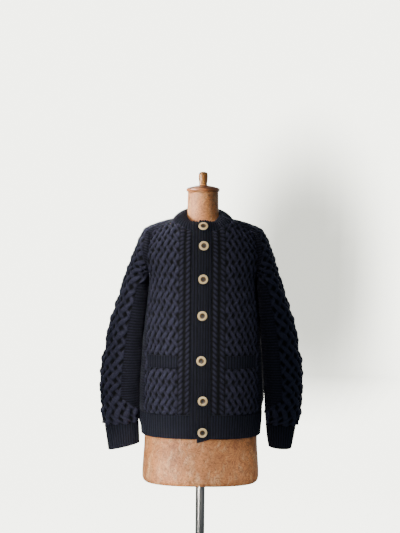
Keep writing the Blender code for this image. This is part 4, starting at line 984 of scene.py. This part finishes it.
# ---------------------------------------------------------------- neckband and button bands
def neck_rim(turn):
    """A point of the neckband's upper edge; turn runs from the front (0) over the +X side to the back (1)."""
    turn = np.asarray(turn, float)
    depth = np.where(turn < 0.5, NECK_RIM_FRONT, NECK_RIM_BACK)
    across, ahead = np.sin(turn * math.pi), np.cos(turn * math.pi)
    x = NECK_RIM_X * abs(across) ** (2 / NECK_RIM_POWER)
    y = NECK_Y - depth * np.sign(ahead) * abs(ahead) ** (2 / NECK_RIM_POWER)
    return np.stack([x, y, smooth(NECK_RIM["turn"], NECK_RIM["z"], turn)], axis=-1)


def neck_turn(x):
    """Turn of the front point of the neckband's upper edge that has the given x."""
    return np.arcsin((np.abs(x) / NECK_RIM_X) ** (NECK_RIM_POWER / 2)) / math.pi


def neck_seam(side):
    """Lower edge of the neckband for +X, from the button band round to the centre back."""
    strap = sleeve_grid(side, np.linspace(0, 1, 61))[0][-1]
    front = body_grid("front", steps(BAND_EDGE[side], LATTICE_END), [TOP_ROW])[0]
    back = body_grid("back", steps(0.0, LATTICE_END), [TOP_ROW])[0]
    front = front[front[:, 0] <= strap[0, 0] - 0.001]
    back = back[back[:, 0] <= strap[-1, 0] - 0.001]
    return np.concatenate([front, strap, back[::-1]])


def band_roll(lower, upper, share):
    """A ribbed strip between two lines of points, bulging a little outward."""
    bulge = NECKBAND_BULGE * 4 * share * (1 - share)
    away = (lower - np.array([0.0, NECK_Y, 0.0])) * np.array([1.0, 1.0, 0.0])
    return lower * (1 - share) + upper * share + (unit(away) * 0.6 + np.array([0.0, 0.0, 0.8])) * bulge


def make_neckband():
    """The ribbed neckband, folded over at its top, from one button band round the neck to the other."""
    halves = []
    for side in ("left", "right"):
        seam = neck_seam(side)
        length = lengths_along(seam)[-1]
        ribs = round(length / NECK_RIB_PITCH)
        at = steps(0, 1, 1 / (ribs * 7))
        lines = resample(seam, length * at), neck_rim(neck_turn(seam[0, 0]) * (1 - at) + at)
        halves.append((*(mirrored(line) if side == "left" else line for line in lines), at * ribs))
    lower, upper, phase = (np.concatenate([left, right[-2::-1]]) for left, right in zip(*halves))
    shares = steps(0, 1, 0.0014 / NECKBAND_HEIGHT)
    ground = np.array([band_roll(lower, upper, share) for share in shares])
    normal = grid_normals(ground)
    normal *= np.sign(np.sum(normal * (ground - np.array([0.0, NECK_Y, 1.36])), axis=-1, keepdims=True))
    along = grid_lengths(ground)[1]
    ribs = rib_relief(phase[None] + 0 * along, 1.0)
    height = 1.3 * ribs * (0.35 + 0.65 * ease((along[-1] - along) / 0.006))
    height = height - RIB * 0.6 - rounded(along[-1] - along, 0.0026) - rounded(along, 0.0010)
    knitted("neckband", "rib", (ground, normal, height, ribs / RIB), (0.500, 0.036), 0.0150)


def centre_grid(x, rows):
    """Ground near the front's centre line, up through the neckband, at signed lanes and rows."""
    near = np.linspace(0, CENTRE_REACH, CENTRE_LANES)
    lanes = np.concatenate([near, steps(LATTICE_START, LATTICE_END, LATTICE_PITCH)])
    rows = np.asarray(rows, float)
    grid = body_grid("front", lanes, rows[rows <= TOP_ROW])[:, :CENTRE_LANES]
    last = body_grid("front", lanes, [TOP_ROW])[0, :CENTRE_LANES]
    upper = neck_rim(neck_turn(last[:, 0]))
    shares = (rows[rows > TOP_ROW] - TOP_ROW) / (NECK_ROW - TOP_ROW)
    roll = [band_roll(last, upper, share) for share in shares]
    grid = np.concatenate([grid, np.array(roll).reshape(-1, CENTRE_LANES, 3)])
    columns = [np.array([np.interp(abs(x), near, line) for line in grid[..., axis]]) for axis in range(3)]
    points = np.stack(columns, axis=-1)
    points[..., 0] *= np.where(x < 0, -1, 1)
    return points


def band_lift(x):
    """How far the over band stands off the fronts at x: it comes down to its seam at the right front."""
    return BAND_LIFT * ease((BAND_EDGE["right"] - x) / (BAND_EDGE["right"] - BAND_LIFTED))


def centre_normals(ground):
    """Outward normals of a grid on the front."""
    normal = grid_normals(ground)
    return normal * -np.sign(normal[..., 1:2])


def make_band(node, x, over):
    """A button band with upright ribs and a rolled free edge, from the hem to the top of the neckband."""
    rows = steps(HEM_ROW, NECK_ROW, FINE / ROW)
    ground = centre_grid(x, rows)
    normal = centre_normals(ground)
    width = BAND_EDGE["right"] - BAND_FREE["right"]
    ribs = 5 if over else 4
    across = (x - x[0]) / (x[-1] - x[0])
    columns = rib_relief(across[None] * ribs + 0 * rows[:, None], 1.0)
    if over:
        ground += normal * band_lift(x)[None, :, None]
        dip = ease((HEM_ROW + 3 - rows) / 3)[:, None] * np.clip((BAND_EDGE["right"] - x) / width, 0, 1)[None]
        ground[..., 2] -= BAND_DIP * dip
    to_ends = np.minimum(rows - HEM_ROW, NECK_ROW - rows)[:, None] * ROW
    free = (x - x[0]) if over else (x[-1] - x)
    sewn = (x[-1] - x) if over else (x - x[0])
    height = columns - RIB * 0.5 - rounded(to_ends, RIM_ROUND)
    height = height - rounded(free, RIM_ROUND)[None] - rounded(sewn, 0.001)[None]
    # painted shade: the bands' shade share is scaled to 0.85, so they come out darker than the other ribbed pieces
    knitted(node, "rib", (ground, normal, height, 0.85 * columns / RIB), (0.038 if over else 0.035, 0.660),
            rests_on="front_right" if over else "front_left", wall=BAND_WALL)


# ---------------------------------------------------------------- pockets
def pocket_ground(low, high):
    """The front panel under a pocket between two rows, for +X: ground, normals, rows, and each point's share of
    the way across and up, and its distance from the sides and from both ends."""
    rows = steps(low, high, FINE / ROW)
    lanes = steps(LATTICE_START, LATTICE_END)
    grid = body_grid("front", lanes, rows)
    share = np.linspace(0, 1, len(lanes))[None]
    climb = ((rows - rows[0]) / (rows[-1] - rows[0]))[:, None]
    to_side = np.minimum(share, 1 - share) * LATTICE_LANES * LATTICE_PITCH
    to_ends = (rows - rows[0])[:, None] * ROW, (rows[-1] - rows)[:, None] * ROW
    return grid[:, :len(lanes)], grid_normals(grid)[:, :len(lanes)], rows[:, None], share, climb, to_side, to_ends


def pocket_fullness(share):
    """How far a pocket stands off the front across its width: 2.2 mm x sin(pi s)^0.7."""
    return POCKET_FULL * np.sin(math.pi * share) ** 0.7


def pocket_piece(node, slot, side, surface, flat):
    """A knitted piece of a pocket, on the front of its side."""
    ground, normal, height, shade, full = surface
    ground = ground + normal * (POCKET_WALL + POCKET_GAP + full)[..., None]
    knitted(node + side, slot, (ground, normal, height, shade), flat,
            rests_on="front_" + side, flip=side == "left", wall=POCKET_WALL)


def make_pocket(side):
    """A patch pocket: the panel's lattice goes on over it, a little full, with rounded sewn edges."""
    ground, normal, row, share, climb, to_side, (to_foot, to_top) = pocket_ground(0.06, POCKET_SEAM_ROW - 0.01)
    full = pocket_fullness(share) * np.sin(math.pi * (0.08 + 0.80 * climb)) ** 0.7
    lane = share * LATTICE_LANES
    strands = lattice_relief(np.clip(lane, 0.3, LATTICE_LANES - 0.3), row + 0 * lane)
    to_end = np.minimum(to_foot, to_top)
    height = strands * ease(to_side / 0.006) * ease(to_end / 0.005)
    height -= rounded(to_side, RIM_ROUND) + rounded(to_end, 0.0018)
    shade = strands / (STRAND * STRAND_LEAD)
    pocket_piece("pocket_", "knit", side, (ground, normal, height, shade, full), (0.095, 0.132))


def make_pocket_top(side):
    """The ribbed strip along the mouth of a pocket, which gapes a little in its middle."""
    low, high = POCKET_SEAM_ROW + 0.01, POCKET_TOP_ROW - 0.05
    ground, normal, row, share, climb, to_side, (to_foot, to_top) = pocket_ground(low, high)
    full = pocket_fullness(share) * (0.65 + 0.5 * climb)
    columns = rib_relief(share * round(LATTICE_LANES * LATTICE_PITCH / RIB_PITCH) + 0 * row, 1.0)
    height = columns - rounded(to_side, 0.0020) - rounded(to_top, 0.0024) - rounded(to_foot, 0.001)
    pocket_piece("pocket_top_", "rib", side, (ground, normal, height, columns / RIB, full), (0.095, 0.037))


# ---------------------------------------------------------------- buttons
BUTTON_RADIUS = 0.0132
BUTTON_PROFILE = table(
    "radius z zone",
    (0.0000, 0.0020, 0.12), (0.0026, 0.0021, 0.20), (0.0046, 0.0024, 0.40), (0.0068, 0.0036, 0.50),
    (0.0078, 0.0045, 0.70), (0.0094, 0.0049, 0.85), (0.0112, 0.0046, 0.85), (0.0126, 0.0036, 0.85),
    (BUTTON_RADIUS, 0.0022, 0.80), (0.0126, 0.0008, 0.70), (0.0110, 0.0000, 0.60),
)
HOLE_RADIUS = 0.0013
HOLE_OFFSET = 0.0025


def button_mesh(name):
    """A dished button: rings of points whose height follows the profile, with four stitch holes pressed in."""
    along = np.concatenate([np.linspace(0.02, 0.50, 22), np.linspace(0.52, 1.0, 22)])
    reach = lengths_along(np.stack([BUTTON_PROFILE["radius"], BUTTON_PROFILE["z"]], axis=1))
    at = along * reach[-1]
    radius, z, zone = (np.interp(at, reach, BUTTON_PROFILE[key]) for key in ("radius", "z", "zone"))
    turn = np.linspace(0, 2 * math.pi, 57)[:-1]
    x, y = radius[:, None] * np.cos(turn), radius[:, None] * np.sin(turn)
    hole = np.zeros_like(x)
    for cx, cy in ((1, 1), (1, -1), (-1, 1), (-1, -1)):
        distance = np.hypot(x - cx * HOLE_OFFSET / math.sqrt(2), y - cy * HOLE_OFFSET / math.sqrt(2))
        hole = np.maximum(hole, ease((HOLE_RADIUS - distance) / (HOLE_RADIUS * 0.6)))
    height = z[:, None] - 0.0016 * hole
    grid = np.stack([x, y, height], axis=-1)
    piece = skin(name, grid[::-1])
    # the holes take share 0 and so the near-black colour: painted shade inside the holes
    values = (zone[:, None] * (1 - hole))[::-1]
    values = np.append(values.ravel(), [0.60, 0.30])
    piece.data.attributes.new("tone_and_painted_light", "FLOAT", "POINT").data.foreach_set("value", values.astype(np.float32))
    return piece


def make_buttons():
    """Seven dished horn buttons lying on the over band, each tilted with the cloth under it."""
    rows = np.arange(HEM_ROW, NECK_ROW + 0.25, 0.25)
    beside = 0.004
    for number, (z, x, seat) in enumerate(zip(BUTTONS["z"], BUTTONS["x"], BUTTONS["seat"]), 1):
        ground = centre_grid(np.array([x - beside, x, x + beside]), rows)
        normal = centre_normals(ground)
        row = int(np.argmin(abs(ground[:, 1, 2] - z)))
        out = Vector(unit(normal[row - 2:row + 3, 1].mean(axis=0)))
        button = button_mesh("button_%d_horn" % number)
        turn = Vector((0, 0, 1)).rotation_difference(out)
        place = Vector(ground[row, 1]) + out * (float(band_lift(x)) + 0.0012 + seat)
        button.data.transform(turn.to_matrix().to_4x4())
        button.data.transform(Matrix.Translation(place))
        wear(button, "button_%d" % number, HORN)


# ---------------------------------------------------------------- dress form
def make_torso():
    """The torso: superellipse sections x = a c^(2/p), y = b s^(2/p) at fine levels, round at the neck."""
    turn = np.linspace(0, 2 * math.pi, 145)[:-1]
    foot = FORM_FOOT + np.array([0, 0.0005, 0.0015, 0.0035])
    levels = np.concatenate([foot, steps(FORM_FOOT + 0.006, FORM_TOP, 0.006)])
    side, front, back = (smooth(FORM["z"], FORM[name], levels)[:, None] for name in ("side", "front", "back"))
    power = 2.0 + 0.5 * np.clip((1.40 - levels) / 0.10, 0, 1)[:, None]
    across, ahead = np.cos(turn)[None], np.sin(turn)[None]
    x = side * np.sign(across) * abs(across) ** (2 / power)
    y = np.where(ahead > 0, back, front) * np.sign(ahead) * abs(ahead) ** (2 / power)
    points = np.stack([x, y, levels[:, None] + 0 * x], axis=-1)
    piece = skin("form_torso_paper", points)
    wear(piece, "form_torso", PAPER)


def turned(name, profile, sides, base):
    """A turned piece: its profile of (radius, height), from the bottom up, carried round +Z."""
    radius, z = (np.array([point[i] for point in profile]) for i in (0, 1))
    turn = np.linspace(0, 2 * math.pi, sides + 1)[:-1]
    x, y = base[0] + radius[:, None] * np.cos(turn), base[1] + radius[:, None] * np.sin(turn)
    return skin(name, np.stack([x, y, base[2] + z[:, None] + 0 * x], axis=-1))


def curve(points, count):
    """A smooth line of (radius, height) points through a few given ones."""
    points = np.array(points, float)
    along = lengths_along(points)
    at = np.linspace(0, along[-1], count)
    return np.stack([smooth(along, points[:, 0], at), smooth(along, points[:, 1], at)], axis=1)


def make_stand():
    """Neck cap, finial, pole and base."""
    cap = curve([(0.0420, 0.0), (0.0455, 0.0005), (0.0468, 0.0040), (0.0470, 0.0070), (0.0455, 0.0092),
                 (0.0310, 0.0140), (0.0150, 0.0172), (0.0100, CAP_TOP)], 44)
    piece = turned("form_cap_wood", cap, 96, (0, NECK_Y, FORM_TOP + SEAM))
    wear(piece, "form_cap", CAP_WOOD)
    finial = curve([(0.0112, 0.0), (0.0118, 0.0020), (0.0108, 0.0045), (0.0114, 0.0085), (0.0128, 0.0180),
                    (0.0131, 0.0270), (0.0118, 0.0335), (0.0075, 0.0370), (0.0010, 0.0380)], 48)
    piece = turned("form_finial_wood", finial, 64, (0, NECK_Y, FORM_TOP + 2 * SEAM + CAP_TOP))
    wear(piece, "form_finial", WOOD)
    pole = [(POLE_RADIUS, z) for z in steps(HUB_Z + SEAM, FORM_FOOT - SEAM, 0.02)]
    piece = turned("form_pole_steel", pole, 64, (0, 0, 0))
    wear(piece, "form_pole", STEEL)
    base = [(0.1880, 0.0), (0.1900, 0.0008), (0.1900, 0.0040), (0.1885, 0.0054), (0.1860, 0.0062), (0.1700, 0.0100),
            (0.0240, 0.0118), (0.0224, 0.0124), (0.0220, 0.0140), (0.0220, 0.0300), (0.0214, 0.0325),
            (0.0190, HUB_Z), (0.0130, HUB_Z)]
    piece = turned("form_base_iron", base, 128, (0, 0, 0))
    wear(piece, "form_base", IRON)


# ---------------------------------------------------------------- studio
def make_studio():
    """A pale round floor that curves up into a pale wall far behind, and softboxes, most of them to the left.

    The sweep is a profile of (radius, height) carried round +Z: flat, a quarter circle, and upright.
    """
    floor, curl, top = 8.0, 1.5, 9.0     # reach of the flat floor, radius of its curve, height of the wall
    bend = [(floor + curl * math.sin(a), curl * (1 - math.cos(a))) for a in np.linspace(0, math.pi / 2, 12)]
    path = [(r, 0.0) for r in (0.01, 0.4, 0.8, 1.2, 1.6, 2.0, 3.0, 5.0)]
    path = np.array(path + bend + [(floor + curl, z) for z in steps(1.6, top, 0.15)])
    turn = np.linspace(0, 2 * math.pi, 361)
    radius, z = path[:, :1], path[:, 1:]
    grid = np.stack([radius * np.sin(turn), radius * np.cos(turn), z + 0 * turn], axis=-1)
    # painted shadow: the wall glows less in a soft patch to the right of the form
    across = (grid[..., 0] - SHADE_AT[0]) / SHADE_SIZE[0]
    up = (grid[..., 2] - SHADE_AT[1]) / SHADE_SIZE[1]
    shaded = ease(1.45 - np.hypot(across, up)) * (grid[..., 1] > floor - 0.5)
    # painted shade: the floor glows less round the foot of the form
    floor_painted_shade = 0.55 + 0.45 * ease((radius - 0.2) / 1.4)
    glow = BACKDROP_GLOW * floor_painted_shade * (1 - SHADE_DEPTH * shaded)
    sweep = mesh_piece("studio_sweep", grid.reshape(-1, 3), [quads(np.arange(glow.size).reshape(glow.shape))],
                       values=glow.ravel())
    sweep.data.materials.append(lit_backdrop_paint("backdrop paint", "#f2f3e6", "#7d7a74"))
    sweep.visible_diffuse = False
    sweep.visible_glossy = False
    # On the fronts, the neck, both sides of the torso below the hem, a weak fill, and two behind the back.
    lamps = table(
        "x y z wide tall power spread aim_x aim_y aim_z",
        (-0.60, -2.75, 2.20, 0.10, 0.60, 1.10, 10.5, -0.085, -0.05, 1.045),
        (-2.40, -1.20, 1.62, 0.12, 0.12, 0.38, 5.5, -0.02, 0.0, 1.450),
        (-1.70, -2.20, 0.55, 0.20, 0.12, 0.60, 9.0, -0.09, 0.0, 0.685),
        (1.70, -2.20, 1.35, 0.12, 0.12, 0.06, 6.0, 0.08, 0.0, 0.665),
        (-2.4, -2.0, 1.6, 1.20, 1.20, 1.2, 120.0, 0.0, 0.0, 1.10),
        (-1.0, 3.2, 2.3, 1.60, 1.60, 60.0, 120.0, 0.0, 0.0, 1.10),
        (1.3, 3.0, 1.4, 1.60, 1.60, 24.0, 120.0, 0.0, 0.0, 1.00),
    )
    for i, (x, y, z, wide, tall, power, spread, *aim) in enumerate(zip(*lamps.values())):
        light = bpy.data.lights.new("softbox_%d" % i, "AREA")
        light.shape = "RECTANGLE"
        light.size = wide
        light.size_y = tall
        light.energy = power
        light.spread = math.radians(spread)
        lamp = bpy.data.objects.new("softbox_%d" % i, light)
        lamp.location = (x, y, z)
        lamp.rotation_euler = (Vector(aim) - lamp.location).to_track_quat("-Z", "Y").to_euler()
        bpy.context.scene.collection.objects.link(lamp)
    world = bpy.data.worlds.new("room")
    world.use_nodes = True
    world.node_tree.nodes["Background"].inputs["Color"].default_value = linear("#c8dcf2")
    world.node_tree.nodes["Background"].inputs["Strength"].default_value = 0.25
    bpy.context.scene.world = world


def make_camera():
    """The photograph's viewpoint: as high as the neckband, straight in front, looking slightly down."""
    photo_width, focal_px, distance = 400, 1179, 3.30
    horizon_px, middle_px = 230.0, 266.5
    aside, eye_height, roll = -0.0078, 1.379, math.radians(-0.57)
    data = bpy.data.cameras.new("camera")
    data.sensor_fit = "HORIZONTAL"
    data.sensor_width = 36.0
    data.lens = focal_px / photo_width * data.sensor_width
    camera = bpy.data.objects.new("camera", data)
    camera.location = (aside, -distance, eye_height)
    down = math.atan((middle_px - horizon_px) / focal_px)
    camera.rotation_euler = (math.pi / 2 - down, roll, 0)
    bpy.context.scene.collection.objects.link(camera)
    bpy.context.scene.camera = camera


make_camera()
for side_name in ("left", "right"):
    make_front(side_name)
    make_sleeve(side_name)
    make_cuff(side_name)
    make_welt("welt_front_" + side_name, "front", [(side_name, BAND_EDGE[side_name])])
    make_pocket(side_name)
    make_pocket_top(side_name)
make_back()
make_welt("welt_back", "back", [("left", 0.0), ("right", 0.0)])
make_neckband()
make_band("band_under", steps(-BAND_EDGE["left"], BAND_FREE["left"], RIB_STEP), False)
make_band("band_over", steps(BAND_FREE["right"], BAND_EDGE["right"], RIB_STEP), True)
make_buttons()
make_torso()
make_stand()
make_studio()
